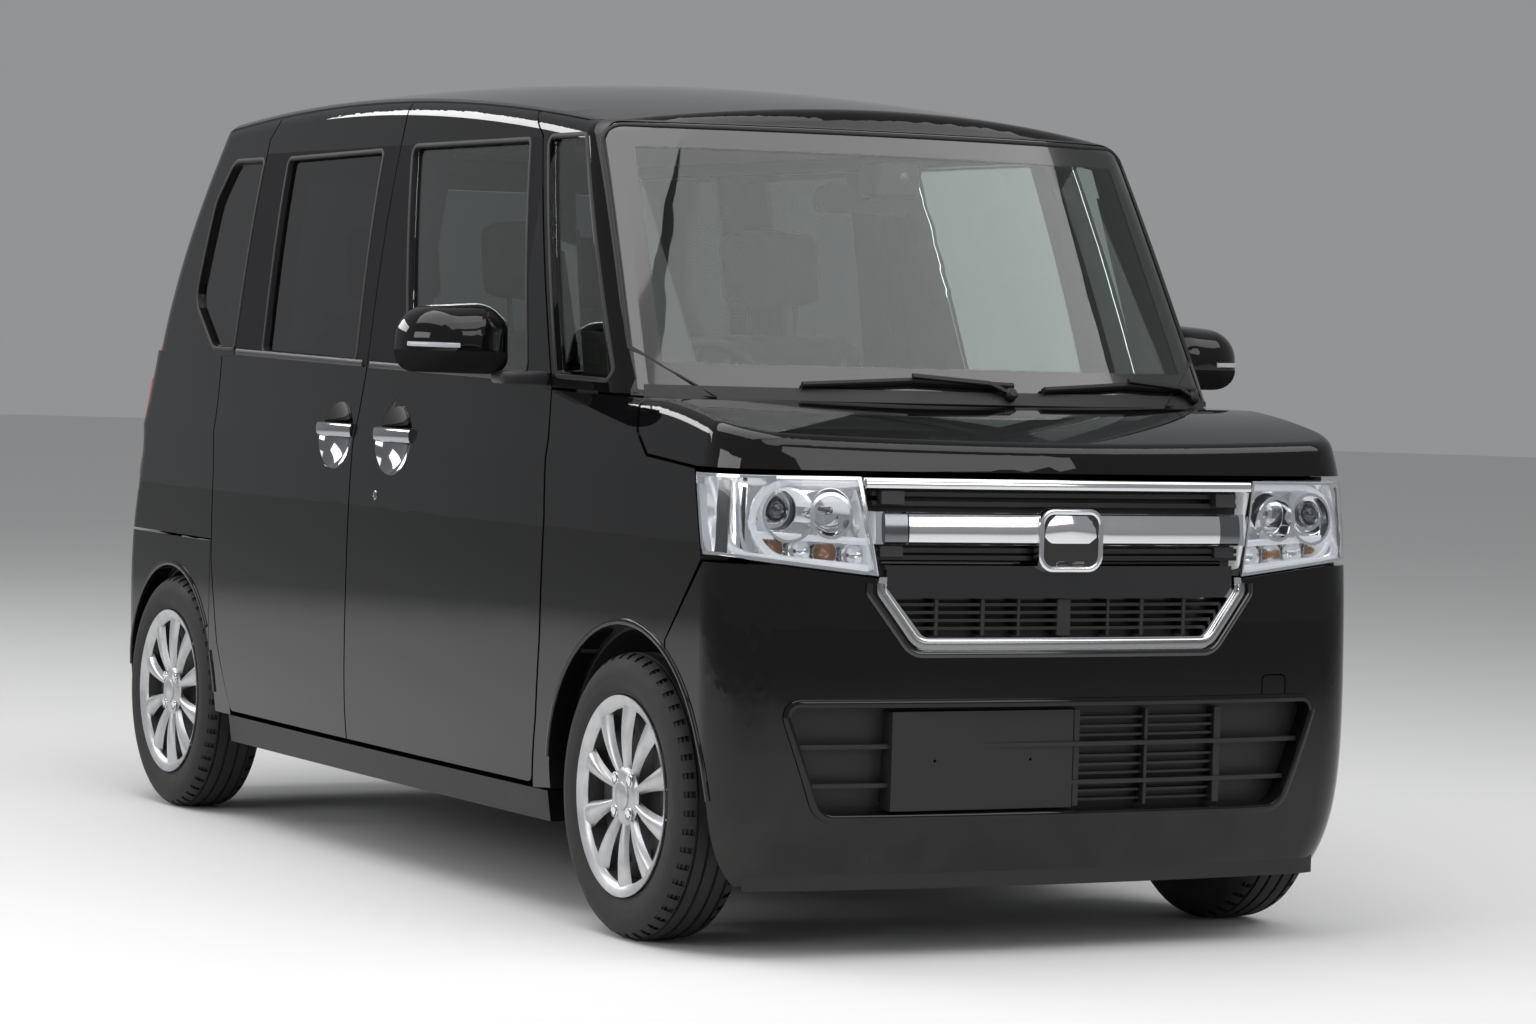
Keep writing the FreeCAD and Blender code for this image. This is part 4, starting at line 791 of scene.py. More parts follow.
CELL_BOWL = [(0.004, -0.014), (0.012, -0.011), (0.020, -0.003), (0.0235, 0.005), (0.0247, 0.005),
             (0.021, -0.005), (0.012, -0.014), (0.004, -0.016)]
BOWL_Z, PROJECTOR_Y, MAIN_BULB_Y = 0.854, 0.603, 0.492
CELLS = ((0.612, 0.781), (0.558, 0.776), (0.504, 0.773), (0.450, 0.769))
LAMP_BARS = {"light_guide": (LAMP_GUIDE, 0.016, crowned(0.014, 0.006, 0.010)),
             "lamp_bezel": (LAMP_BEZEL, 0.022, crowned(0.015, 0.010, 0.026), True),
             "lamp_divider": (LAMP_DIVIDER, 0.016, crowned(0.014, 0.006, 0.028))}


def in_lamp(way, y, z, depth):
    return front_line(lens_surface, [(way * y, z)], depth)[0]


def lamp_rail(way, corners, depth, section, closed=False):
    line = flipped(rounded(corners, closed, 10, 0.02), way)
    return rail(front_line(lens_surface, line, depth), section, closed)


# The guide, bezel and divider carry a faint painted glow as well as their white.
for side, way in SIDES.items():
    for name, bar in LAMP_BARS.items():
        piece(f"{name}_{side}", lamp_rail(way, *bar), "guide_white_glow")
    piece("lamp_outer_" + side, lamp_rail(way, LAMP_OUTER, 0.008, squared(0.026, 0.001, 0.004)), "lamp_smoke")
    bowls = [set_on(turned(LAMP_BOWL, 48), in_lamp(way, y, BOWL_Z, 0.034))
             for y in (PROJECTOR_Y, MAIN_BULB_Y)]
    cells = [set_on(turned(CELL_BOWL, 32), in_lamp(way, y, z, 0.036)) for y, z in CELLS]
    piece("lamp_bowls_" + side, merge(bowls + cells), "reflector")
    ring = set_on(turned(PROJECTOR_RING, 40), in_lamp(way, PROJECTOR_Y, BOWL_Z, 0.034))
    cap = set_on(turned(BULB, 20), in_lamp(way, MAIN_BULB_Y, BOWL_Z, 0.032))
    piece("projector_ring_" + side, merge([ring, cap]), "dark_chrome")
    lens = set_on(turned(PROJECTOR_LENS, 40), in_lamp(way, PROJECTOR_Y, BOWL_Z, 0.032))
    piece("projector_lens_" + side, lens, "projector_glass", smooth=60)
    bulbs = [set_on(turned(BULB, 16), in_lamp(way, y, z, 0.034)) for y, z in CELLS[::2]]
    piece("indicator_bulbs_" + side, merge(bulbs), "amber")

# Grille: crowned chrome bars, end blocks, mesh dividers and a plain boss

nose_surface = surface_of("front_bumper", "grille_trim", "grille", "intake_grille")
bumper_surface = surface_of("front_bumper")
TOP_BAR = [(0.430, 0.9035)]
BAR_Z = 0.8205
MIDDLE_BAR = [(0.347, BAR_Z)]
BAR_END = [(0.349, BAR_Z), (0.396, BAR_Z)]
SLAT_END_BACK = 0.012
PANEL_LIP = [(0.380, 0.7545)]
TRIM_LINE = [(0.401, 0.716), (0.404, 0.702, 0.02), (0.326, 0.6015, 0.040)]
TRIM_EDGE = [(0.394, 0.716), (0.3965, 0.704, 0.02), (0.3220, 0.6085, 0.038)]
DARK_LINE = [(0.425, 0.716), (0.427, 0.698, 0.02), (0.337, 0.5825, 0.048)]
SLAT_ENDS = [(0.878, 0.026), (0.776, 0.022)]
BOSS_FRAME = mirrored_line([(0.066, 0.855, 0.026), (0.066, 0.745, 0.026)])
BOSS_FACE_X = 1.6962


def across_nose(name, half_line, section, finish, surface=nose_surface):
    line = rounded(mirrored_line(half_line))
    return piece(name, rail(front_line(surface, line), section), finish)


across_nose("grille_top_bar", TOP_BAR, crowned(0.020, 0.007), "chrome")
across_nose("grille_middle_bar", MIDDLE_BAR, crowned(0.061, 0.011), "chrome")
across_nose("panel_lip", PANEL_LIP, crowned(0.012, 0.005), "gloss_black")
across_nose("grille_trim_line", TRIM_LINE, crowned(0.020, 0.006), "brushed_trim")
across_nose("grille_trim_edge", TRIM_EDGE, crowned(0.005, 0.0085), "chrome")
across_nose("grille_dark_line", DARK_LINE, crowned(0.014, 0.005), "gloss_black", bumper_surface)
for side, way in SIDES.items():
    end_line = front_line(nose_surface, flipped(rounded(BAR_END), way))
    piece("bar_end_" + side, rail(end_line, crowned(0.061, 0.009)), "dark_chrome")
    blocks = []
    for z, tall in SLAT_ENDS:
        line = [(point + Vector((-SLAT_END_BACK, 0, z - BAR_Z)), normal) for point, normal in end_line]
        blocks.append(rail(line, squared(tall, 0.002, 0.022)))
    piece("slat_ends_" + side, merge(blocks), "satin_trim")

boss_line = [(Vector((BOSS_FACE_X, y, z)), AHEAD) for y, z in rounded(BOSS_FRAME, True)]
piece("boss_frame", rail(boss_line, crowned(0.012, 0.0035, 0.016), True), "chrome")
boss_plate = plate([(y, z) for y, z in rounded(BOSS_FRAME, True)], 0.004)
moved(rotated(boss_plate, -math.pi / 2, "Z"), (BOSS_FACE_X, 0, 0))
piece("boss_plate", boss_plate, "grained_black")

MESH_DIVIDERS = [(0.0, 0.030), (0.100, 0.006), (0.178, 0.008), (0.277, 0.008)]
DIVIDER_SEAT_Z = 0.6310
dividers = []
for y, wide in MESH_DIVIDERS:
    for way in (1, -1) if y else (1,):
        x = front_line(nose_surface, [(way * y, DIVIDER_SEAT_Z)])[0][0].x
        line = [(Vector((x, way * y, z)), AHEAD) for z in (0.617, 0.648, 0.686)]
        dividers.append(rail(line, squared(wide, 0.001, 0.024)))
piece("mesh_dividers", merge(dividers), "grained_black")

# Lower bumper: the rounded lip round the intake, its dividers, the tow cover and the spoiler lip

INTAKE_LIP = mirrored_line([(0.598, 0.490, 0.024), (0.517, 0.272, 0.050)])
TOW_COVER = [(0.462, 0.478, 0.010), (0.462, 0.536, 0.010), (0.520, 0.536, 0.010), (0.520, 0.478, 0.010)]
SPOILER_LINE = [(0.640, 0.190)]
SPOILER_SHIFT = Vector((-0.016, 0, -0.034))
INTAKE_POSTS = ((0.036, 0.014), (0.196, 0.007), (0.366, 0.016))

lip_line = front_line(bumper_surface, rounded(INTAKE_LIP, True))
piece("intake_lip", rail(lip_line, crowned(0.017, 0.006), True), "body_paint")
tow_line = front_line(bumper_surface, rounded(TOW_COVER, True))
piece("tow_cover_seam", rail(tow_line, squared(0.0022, 0.0004, 0.001, 0.0001), True), "shadow")
posts = []
for y, wide in INTAKE_POSTS:
    x = front_line(nose_surface, [(y, 0.330)])[0][0].x - 0.004
    line = [(Vector((x, y, z)), AHEAD) for z in (0.288, 0.380, 0.474)]
    posts.append(rail(line, squared(wide, 0.002, 0.026)))
piece("intake_posts", merge(posts), "grained_black")
spoiler = [(point + SPOILER_SHIFT, Vector((normal.x, normal.y, 0)).normalized())
           for point, normal in front_line(bumper_surface, rounded(mirrored_line(SPOILER_LINE)))]
piece("spoiler_lip", rail(spoiler, squared(0.046, 0.003, 0.012)), "grained_black")

# Windscreen: side and top mouldings, cowl, wipers, sensor unit and interior mirror

screen_surface = surface_of("windscreen", "screen_surround")
SCREEN_EDGE = [(0.662, 1.060), (0.6095, 1.592, 0.045)]
COWL_LINE = [(0.645, 1.0600)]
WIPERS = {"right": (0.105, -0.115, -0.345), "left": (0.610, 0.415, 0.190)}
WIPER_CAP = [(0.0, 0.010), (0.009, 0.009), (0.0135, 0.004), (0.014, -0.014), (0.0, -0.014)]

across_nose("screen_moulding", SCREEN_EDGE, crowned(0.009, 0.004), "rubber_black", screen_surface)
across_nose("cowl", COWL_LINE, squared(0.030, 0.004, 0.012), "grained_black", screen_surface)


def wiper(pivot, middle, far):
    """An arm from its pivot to the middle of a blade that rests low on the glass."""
    lying = rounded([(pivot + 0.010, 1.083), (middle, 1.089), (far, 1.076)], spacing=0.04)
    blade = front_line(screen_surface, lying, -0.008)
    hub = front_line(screen_surface, [(pivot, 1.066)], -0.012)
    arm = hub + front_line(screen_surface, [(pivot - 0.05, 1.082), (middle, 1.094)], -0.020)
    blade_bar = rail(blade, squared(0.011, 0.009, 0.006, 0.003))
    arm_bar = rail(arm, squared(0.010, 0.004, 0.004))
    return merge([blade_bar, arm_bar, set_on(turned(WIPER_CAP, 20), hub[0])])


for side, (pivot, middle, far) in WIPERS.items():
    piece("wiper_" + side, wiper(pivot, middle, far), "rubber_black")

sensor_place = front_line(screen_surface, [(0.0, 1.515)], 0.012)[0][0]
sensor_x, sensor_z = sensor_place.x, sensor_place.z
sensor = box((sensor_x - 0.105, -0.052, sensor_z - 0.045), (sensor_x - 0.020, 0.052, sensor_z + 0.030), 0.012)
piece("sensor_unit", sensor, "grained_black")
sensor_eye = turned([(0.0, 0.004), (0.010, 0.003), (0.013, 0.0), (0.013, -0.01), (0.0, -0.01)], 24)
set_on(sensor_eye, (Vector((sensor_x - 0.020, 0.014, sensor_z - 0.004)), AHEAD))
piece("sensor_eye", sensor_eye, "projector_glass")
cabin_mirror = plate(rounded([(-0.115, -0.030, 0.022), (0.115, -0.030, 0.022), (0.105, 0.030, 0.022),
                              (-0.105, 0.030, 0.022)], True), 0.016)
set_on(cabin_mirror, (Vector((sensor_x - 0.165, 0.0, 1.462)), AHEAD))
mirror_stalk = tube([Vector((sensor_x - 0.08, 0, 1.490)), Vector((sensor_x - 0.170, 0, 1.466))], 0.008)
piece("cabin_mirror", merge([cabin_mirror, mirror_stalk]), "grained_black")

# Side windows: rubber seals, belt mouldings and window outlines as in the CAD, here in metres

CORNER_WINDOW = [(0.836, 1.090, 0.008), (1.074, 1.085, 0.012), (0.798, 1.566, 0.010), (0.636, 1.566, 0.010)]
FRONT_WINDOW = [(0.092, 1.091, 0.012), (0.690, 1.082, 0.020), (0.538, 1.562, 0.012), (-0.062, 1.562, 0.012)]
SLIDE_WINDOW = [(-0.781, 1.110, 0.012), (-0.213, 1.100, 0.012), (-0.236, 1.556, 0.012),
                (-0.804, 1.550, 0.012)]
QUARTER_WINDOW = [(-0.984, 1.115, 0.010), (-1.120, 1.115, 0.060), (-1.290, 1.225, 0.060),
                  (-1.248, 1.460, 0.090), (-1.170, 1.552, 0.060), (-0.976, 1.552, 0.010)]
FRONT_BELT = [(0.700, 1.076), (-0.118, 1.088)]
SLIDE_BELT = [(-0.162, 1.090), (-0.955, 1.103)]
SEAL_OUT = 0.0065


def spread(points, distance):
    """A closed line moved outwards, away from what it goes round."""
    centre = sum(points, Vector((0, 0))) / len(points)
    moved = []
    for index, point in enumerate(points):
        along = points[(index + 1) % len(points)] - points[index - 1]
        out = Vector((along.y, -along.x)).normalized()
        moved.append(point + out * distance * (1 if out.dot(point - centre) > 0 else -1))
    return moved


def eased(places):
    """A closed row of places whose directions change evenly."""
    count = len(places)
    for _ in range(4):
        places = [(point, (places[k - 1][1] + normal * 2 + places[(k + 1) % count][1]).normalized())
                  for k, (point, normal) in enumerate(places)]
    return places


def seal(surface, way, outline):
    """A rubber frame round a window."""
    line = spread(rounded(outline, True, 8, 0.025), SEAL_OUT)
    return rail(eased(side_line(surface, way, line)), crowned(0.010, 0.0025), True)


def belt(surface, way, line):
    """The strip along a window's foot."""
    return rail(side_line(surface, way, rounded(line)), crowned(0.016, 0.005), False)


for side, way in SIDES.items():
    front_door, sliding = surface_of("front_door_" + side), surface_of("sliding_door_" + side)
    quarter, pillar = surface_of("quarter_panel_" + side), surface_of("front_pillar_" + side)
    body = "front_door_" + side
    piece("front_window_seal_" + side, seal(front_door, way, FRONT_WINDOW), "rubber_black", body)
    piece("front_belt_" + side, belt(front_door, way, FRONT_BELT), "satin_trim", body)
    piece("slide_window_seal_" + side, seal(sliding, way, SLIDE_WINDOW), "rubber_black")
    piece("slide_belt_" + side, belt(sliding, way, SLIDE_BELT), "satin_trim")
    fixed = [seal(quarter, way, QUARTER_WINDOW), seal(pillar, way, CORNER_WINDOW)]
    piece("fixed_window_seals_" + side, merge(fixed), "rubber_black")

# Door handles in their wide bowls, keyhole and mirrors

HANDLE_HALF = 0.098
GRIP_Y, GRIP_BEND, GRIP_STEPS = 0.733, 0.009, 10
KEYHOLE = [(0.0, 0.0008), (0.0065, 0.0008), (0.0085, 0.0022), (0.0105, 0.0012), (0.011, -0.004),
           (0.0, -0.004)]
KEYHOLE_PLACE = (0.009, 0.807)
HANDLE_BODIES = {"front": "front_door_", "rear": "sliding_door_"}


def bowl_normal(offset):
    """Direction out of the metal at a place in the bowl, or nothing away from it."""
    level = Vector((offset[k] / BOWL_HALF[k] for k in range(3))).length
    if abs(level - 1) > 0.01:
        return None
    return -Vector((offset[k] / BOWL_HALF[k] ** 2 for k in range(3))).normalized()


def panel_normal(source, tree, point, face_normal):
    """Direction of the CAD panel's own shading nearest to a point."""
    place, _, index, _ = tree.find_nearest(point)
    polygon = source.polygons[index]
    weights = poly_3d_calc([source.vertices[i].co for i in polygon.vertices], place)
    corners = zip(polygon.loop_indices, weights)
    normal = sum((source.corner_normals[index].vector * weight for index, weight in corners), Vector())
    return normal.normalized() if normal.dot(face_normal) > 0.8 * normal.length else face_normal


def as_object(name, shape):
    """A bmesh becomes a bare object in the scene."""
    obj = linked(name, bpy.data.meshes.new(name))
    shape.to_mesh(obj.data)
    shape.free()
    return obj


def bowl_cutter(place):
    ball = bmesh.new()
    bmesh.ops.create_uvsphere(ball, u_segments=72, v_segments=40, radius=1)
    for vert in ball.verts:
        vert.co = Vector((vert.co[k] * BOWL_HALF[k] + place[k] for k in range(3)))
    return as_object("bowl", ball)


def pressed_door(node, place, body):
    """A door panel with a wide bowl pressed in round its handle, shaded as the panel and the bowl are."""
    source = nodes[node].data
    shape = bmesh.new()
    shape.from_mesh(source)
    tree = BVHTree.FromBMesh(shape)
    bmesh.ops.remove_doubles(shape, verts=shape.verts, dist=2e-6)
    panel = as_object("skin_" + node, shape)
    cutter = bowl_cutter(place)
    press = panel.modifiers.new("bowl", "BOOLEAN")
    press.operation = "DIFFERENCE"
    press.object = cutter
    settled(panel)
    bpy.data.objects.remove(cutter)
    mesh = panel.data
    mesh.shade_smooth()
    normals = [UP] * len(mesh.loops)
    for polygon in mesh.polygons:
        in_bowl = bowl_normal(polygon.center - place)
        for index in polygon.loop_indices:
            point = mesh.vertices[mesh.loops[index].vertex_index].co
            pressed = in_bowl and bowl_normal(point - place)
            inside = point.lerp(polygon.center, 0.02)
            normals[index] = pressed or panel_normal(source, tree, inside, polygon.normal)
    mesh.normals_split_custom_set(normals)
    use(panel, "door_paint")
    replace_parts(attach(panel, body), node)


def grip_line(x, z, way):
    """A bar's places along a handle, bent a little inwards at its ends."""
    shares = [step / GRIP_STEPS for step in range(-GRIP_STEPS, GRIP_STEPS + 1)]
    return [(Vector((x + HANDLE_HALF * t, way * (GRIP_Y - GRIP_BEND * t ** 2), z)), Vector((0, way, 0)))
            for t in shares]


lock_place = side_line(surface_of("front_door_right"), SIDES["right"], [KEYHOLE_PLACE])[0]
for side, way in SIDES.items():
    for kind, (x, z) in HANDLES.items():
        body = "front_door_" + side if kind == "front" else "car_body"
        pressed_door(HANDLE_BODIES[kind] + side, Vector((x, way * BOWL_CENTRE_Y, z)), body)
        grip = rail(grip_line(x, z, way), crowned(0.031, 0.009, 0.016, 10))
        piece(f"handle_{kind}_{side}", grip, "smoked_chrome", body, 40)
piece("keyhole", set_on(turned(KEYHOLE, 24), lock_place), "dark_chrome", "front_door_right")

MIRROR_BACK_X, MIRROR_NOSE_X = 0.692, 0.812
MIRROR_OUTLINE = [(0.756, 1.082, 0.030), (0.990, 1.084, 0.040), (0.984, 1.214, 0.070), (0.800, 1.227, 0.060),
                  (0.758, 1.190, 0.030)]
MIRROR_RIM = [(0.930, 0.004), (0.945, -0.0005), (0.975, -0.003), (0.993, 0.000)]
MIRROR_RIM_DEPTH = 0.004
MIRROR_ROUNDNESS = 2.5
PANE_SHARE = 0.925
MIRROR_MIDDLE = Vector((0.872, 1.150))
INDICATOR_STRIP = [(0.896, 1.1390), (0.981, 1.1400)]
MIRROR_RINGS = 14


def mirror_level(share):
    """The outline's scale and its place ahead of the glass, at a share of the head's depth."""
    depth = MIRROR_NOSE_X - MIRROR_BACK_X
    scale = (1 - share ** MIRROR_ROUNDNESS) ** (1 / MIRROR_ROUNDNESS)
    return scale, MIRROR_RIM_DEPTH + (depth - MIRROR_RIM_DEPTH) * share


def mirror_head():
    """The left head: a rounded rim round the glass, and walls that curve in towards the nose."""
    outline = rounded(MIRROR_OUTLINE, True, 8, 0.02)
    shares = [k / MIRROR_RINGS for k in range(MIRROR_RINGS)] + [0.965, 0.985, 0.996]
    levels = MIRROR_RIM + [mirror_level(share) for share in shares]
    shape = bmesh.new()
    rings = []
    for scale, ahead in levels:
        ring = [MIRROR_MIDDLE + (point - MIRROR_MIDDLE) * scale for point in outline]
        rings.append([shape.verts.new((MIRROR_BACK_X + ahead, p.x, p.y)) for p in ring])
    for first, second in zip(rings, rings[1:]):
        for k in range(len(first)):
            following = (k + 1) % len(first)
            shape.faces.new((first[k], first[following], second[following], second[k]))
    shape.faces.new(rings[0])
    shape.faces.new(rings[-1])
    return closed_normals(shape)


for side, way in SIDES.items():
    body = "front_door_" + side
    head = to_side(mirror_head(), way)
    head_surface = BVHTree.FromBMesh(head)
    head_piece = piece("mirror_head_" + side, head, "mirror_shell", body, 50)
    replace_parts(head_piece, "mirror_" + side)
    arm = box((0.742, 0.690, 1.064), (0.800, 0.800, 1.091), 0.010)
    arm_piece = piece("mirror_arm_" + side, to_side(arm, way), "satin_trim", body)
    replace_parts(arm_piece, "mirror_" + side)
    outline = rounded(MIRROR_OUTLINE, True, 8, 0.02)
    pane = [MIRROR_MIDDLE + (point - MIRROR_MIDDLE) * PANE_SHARE for point in outline]
    pane_shape = rail([(Vector((MIRROR_BACK_X + 0.0035, p.x, p.y)), -AHEAD) for p in pane],
                      [(-0.001, 0.0), (-0.001, 0.001), (0.001, 0.001), (0.001, 0.0)], True)
    face = [pane_shape.verts.new((MIRROR_BACK_X + 0.0025, p.x, p.y)) for p in pane]
    pane_shape.faces.new(face)
    piece("mirror_glass_" + side, to_side(pane_shape, way), "mirror_silver", body)
    strip = front_line(head_surface, flipped(rounded(INDICATOR_STRIP, spacing=0.010), way))
    piece("mirror_indicator_" + side, rail(strip, crowned(0.010, 0.003)), "indicator_lens", body)

# Seats: stuffed cushions, backs and headrests on their frames

PAD_WIDTH = 0.480
SEAT_ROWS = {"front": (0.299, 0.250, 0.480, 0.680, "front_seats"),
             "rear": (0.260, -0.640, 0.500, 0.670, "rear_seat")}
PAD_VOXEL = 0.010
PAD_FRAMES = 12
PAD_PRESSURE = 4
PAD_SHRINK = 0.008
PAD_CAP, REST_CAP = 0.012, 0.008
PAD_SQUARENESS = 7
SIDE_PULL, CORNER_PULL = 0.035, 0.020
EDGE_THICKNESS = 0.86
SEAM_DEPTH, SEAM_HALF = 0.007, 0.010
CHANNEL_DEPTH, CHANNEL_HALF = 0.004, 0.009
STITCH_POINTS, STITCH_SHARE = 15, 0.80
UPRIGHT = Matrix(((0, 0, 1), (0, -1, 0), (1, 0, 0)))
PAD_STANDS = {"back": (0.300, math.radians(-14), 0.235, -0.060),
              "rest": (0.095, math.radians(-12), 0.385, 0.555)}


def pad_form(length, wide, thick):
    """A crowned closed form whose sides pull in between its corners, thickness along Z."""
    shape = bmesh.new()
    bmesh.ops.create_cube(shape, size=2)
    bmesh.ops.subdivide_edges(shape, edges=shape.edges[:], cuts=13, use_grid_fill=True)
    half = Vector((length / 2 - PAD_SHRINK, wide / 2 - PAD_SHRINK, thick / 2 - PAD_SHRINK))
    for vert in shape.verts:
        u, v, w = vert.co
        size = sum(abs(value) ** PAD_SQUARENESS for value in (u, v, w)) ** (1 / PAD_SQUARENESS)
        u, v, w = u / size, v / size, w / size
        pull = 1 - SIDE_PULL * (1 - w * w)
        pull_u = pull - CORNER_PULL * (1 - v * v)
        pull_v = pull - CORNER_PULL * (1 - u * u)
        crown = EDGE_THICKNESS + (1 - EDGE_THICKNESS) * (1 - u * u) * (1 - v * v)
        vert.co = Vector((u * half.x * pull_u, v * half.y * pull_v, w * half.z * crown))
    return shape


def swollen(shape, cap):
    """Stuff a closed form by cloth simulation; no point moves further than the cap."""
    scene = bpy.context.scene
    pad = as_object("pad", shape)
    remesh = pad.modifiers.new("voxels", "REMESH")
    remesh.mode = "VOXEL"
    remesh.voxel_size = PAD_VOXEL
    settled(pad)
    before = [vert.co.copy() for vert in pad.data.vertices]
    cloth = pad.modifiers.new("stuffing", "CLOTH")
    cloth.settings.use_pressure = True
    cloth.settings.uniform_pressure_force = PAD_PRESSURE
    cloth.settings.effector_weights.gravity = 0
    cloth.settings.quality = 4
    cloth.point_cache.frame_end = PAD_FRAMES
    for number in range(1, PAD_FRAMES + 1):
        scene.frame_set(number)
    settled(pad)
    scene.frame_set(1)
    for vert, start in zip(pad.data.vertices, before):
        move = vert.co - start
        if move.length > cap:
            vert.co = start + move.normalized() * cap
    made = bmesh.new()
    made.from_mesh(pad.data)
    bpy.data.objects.remove(pad)
    return made


def sewn(shape, bolster, channels):
    """Press the seams between middle and bolsters, and the channels across the middle, into a pad's face."""
    shape.normal_update()
    for vert in shape.verts:
        if vert.normal.z < 0.25:
            continue
        press = SEAM_DEPTH * math.exp(-((abs(vert.co.y) - bolster) / SEAM_HALF) ** 2)
        if abs(vert.co.y) < bolster:
            press += sum(CHANNEL_DEPTH * math.exp(-((vert.co.x - x) / CHANNEL_HALF) ** 2) for x in channels)
        vert.co.z -= press
    return shape


def stitches(shape, bolster, length):
    """A twin row of thread along both bolster seams."""
    tree = BVHTree.FromBMesh(shape)
    rows = []
    for way in (1, -1):
        for offset in (-0.004, 0.004):
            path = []
            for step in range(STITCH_POINTS):
                x = (step / (STITCH_POINTS - 1) - 0.5) * length * STITCH_SHARE
                path.append(tree.ray_cast(Vector((x, way * bolster + offset, 1)), -UP)[0])
            rows.append(tube(path, 0.0009, 5))
    return merge(rows)


PAD_KINDS = {"cushion": (0.500, PAD_WIDTH, 0.130, 0.150, (-0.11, 0.01, 0.13)),
             "back": (0.600, PAD_WIDTH, 0.110, 0.150, (-0.17, -0.05, 0.07)),
             "rest": (0.190, 0.260, 0.090, 0.200, ())}
pad_meshes = {}
for kind, (length, wide, thick, bolster, channels) in PAD_KINDS.items():
    cap = REST_CAP if kind == "rest" else PAD_CAP
    pad_shape = sewn(swollen(pad_form(length, wide, thick), cap), bolster, channels)
    thread_shape = stitches(pad_shape, bolster, length) if channels else bmesh.new()
    pad_meshes[kind] = []
    for shape in (pad_shape, thread_shape):
        kept = bpy.data.meshes.new(kind)
        shape.to_mesh(kept)
        shape.free()
        pad_meshes[kind].append(kept)


def seat_shape(kind, which, x, y, z, widen):
    """A pad, or its thread, moved to its place on a seat."""
    shape = bmesh.new()
    shape.from_mesh(pad_meshes[kind][which])
    bmesh.ops.scale(shape, verts=shape.verts, vec=(1, widen if kind != "rest" else 1, 1))
    if kind == "cushion":
        return moved(shape, (x, y, z - 0.065))
    bmesh.ops.rotate(shape, verts=shape.verts, cent=(0, 0, 0), matrix=UPRIGHT)
    height, tilt, back, rise = PAD_STANDS[kind]
    rotated(moved(shape, (0, 0, height)), tilt, "Y")
    return moved(shape, (x - back, y, z + rise))


FLOOR_TOP = 0.270
for row, (half_apart, x, wide, z, node) in SEAT_ROWS.items():
    for side, way in SIDES.items():
        y = way * half_apart
        widen = wide / PAD_WIDTH
        for kind in PAD_KINDS:
            pad_shape = seat_shape(kind, 0, x, y, z, widen)
            pad = piece(f"{row}_{kind}_{side}", pad_shape, "seat_cloth", smooth=180)
            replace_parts(pad, node)
        threads = [seat_shape(kind, 1, x, y, z, widen) for kind in ("cushion", "back")]
        piece(f"{row}_seams_{side}", merge(threads), "thread")
        half = wide / 2
        base = box((x - 0.200, y - half + 0.060, FLOOR_TOP), (x + 0.190, y + half - 0.060, z - 0.112), 0.015)
        stem_sides = (y + 0.06, y - 0.06)
        stems = [tube([Vector((x - 0.378, at, z + 0.48)), Vector((x - 0.394, at, z + 0.59))], 0.006)
                 for at in stem_sides]
        piece(f"{row}_seat_frame_{side}", merge([base] + stems), "cabin_plastic")

# Cabin: headliner and dash fittings

LINING_MIDDLE, LINING_LENGTH, LINING_WIDTH = -0.330, 1.72, 1.04
LINING_TOP, LINING_EDGE = 1.593, 1.62
LINING_GAP, LINING_WALL = 0.003, 0.004
roof_inside = surface_of("roof_panel")
lining = bmesh.new()
bmesh.ops.create_grid(lining, x_segments=24, y_segments=16, size=0.5)
for vert in lining.verts:
    x, y = LINING_MIDDLE + vert.co.x * LINING_LENGTH, vert.co.y * LINING_WIDTH
    hit = roof_inside.ray_cast(Vector((x, y, 1.2)), UP)[0]
    height = hit.z if hit else LINING_EDGE
    vert.co = Vector((x, y, min(height - LINING_GAP, LINING_TOP)))
bmesh.ops.solidify(lining, geom=lining.faces[:], thickness=LINING_WALL)
piece("headliner", closed_normals(lining), "headliner_cloth", smooth=180)

DASH_SCREEN = ((0.787, -0.105, 0.945), (0.799, 0.105, 1.075))
CLUSTER = ((0.775, -0.455, 0.985), (0.835, -0.215, 1.062))
VENT_PLACES = (-0.510, -0.150, 0.150, 0.510)


def vent_frame(y):
    corners = [(y - 0.041, 0.887, 0.010), (y + 0.041, 0.887, 0.010), (y + 0.041, 0.955, 0.010),
               (y - 0.041, 0.955, 0.010)]
    line = [(Vector((0.803, corner.x, corner.y)), -AHEAD) for corner in rounded(corners, True)]
    return rail(line, crowned(0.006, 0.006), True)


piece("dash_screen", box(*DASH_SCREEN, 0.006), "gloss_black")
piece("cluster_hood", box(*CLUSTER, 0.018), "cabin_plastic")
vents = []
for y in VENT_PLACES:
    for step in range(5):
        z = 0.895 + step * 0.012
        vents.append(box((0.795, y - 0.035, z), (0.806, y + 0.035, z + 0.004)))
    vents.append(vent_frame(y))
piece("dash_vents", merge(vents), "dark_chrome")

# Wheel arch lips

ARCH_RADII = {"front": 0.332, "rear": 0.304}
LIP_OUT = 0.006


def arch_line(end):
    """Points over a wheel, just outside its opening."""
    radius = ARCH_RADII[end] + LIP_OUT
    angles = [math.radians(degrees) for degrees in range(4, 177, 6)]
    return [Vector((AXLES[end] + radius * math.cos(a), HUB_HEIGHT + radius * math.sin(a))) for a in angles]


for side, way in SIDES.items():
    for end, panel in (("front", "fender_"), ("rear", "quarter_panel_")):
        surface = surface_of(panel + side, end + "_bumper")
        lip = rail(side_line(surface, way, arch_line(end)), crowned(0.013, 0.004, 0.006))
        piece(f"arch_lip_{end}_{side}", lip, "body_paint")

# Rear: lamps, tailgate garnish, wiper, stop lamp, reflectors and lower bumper

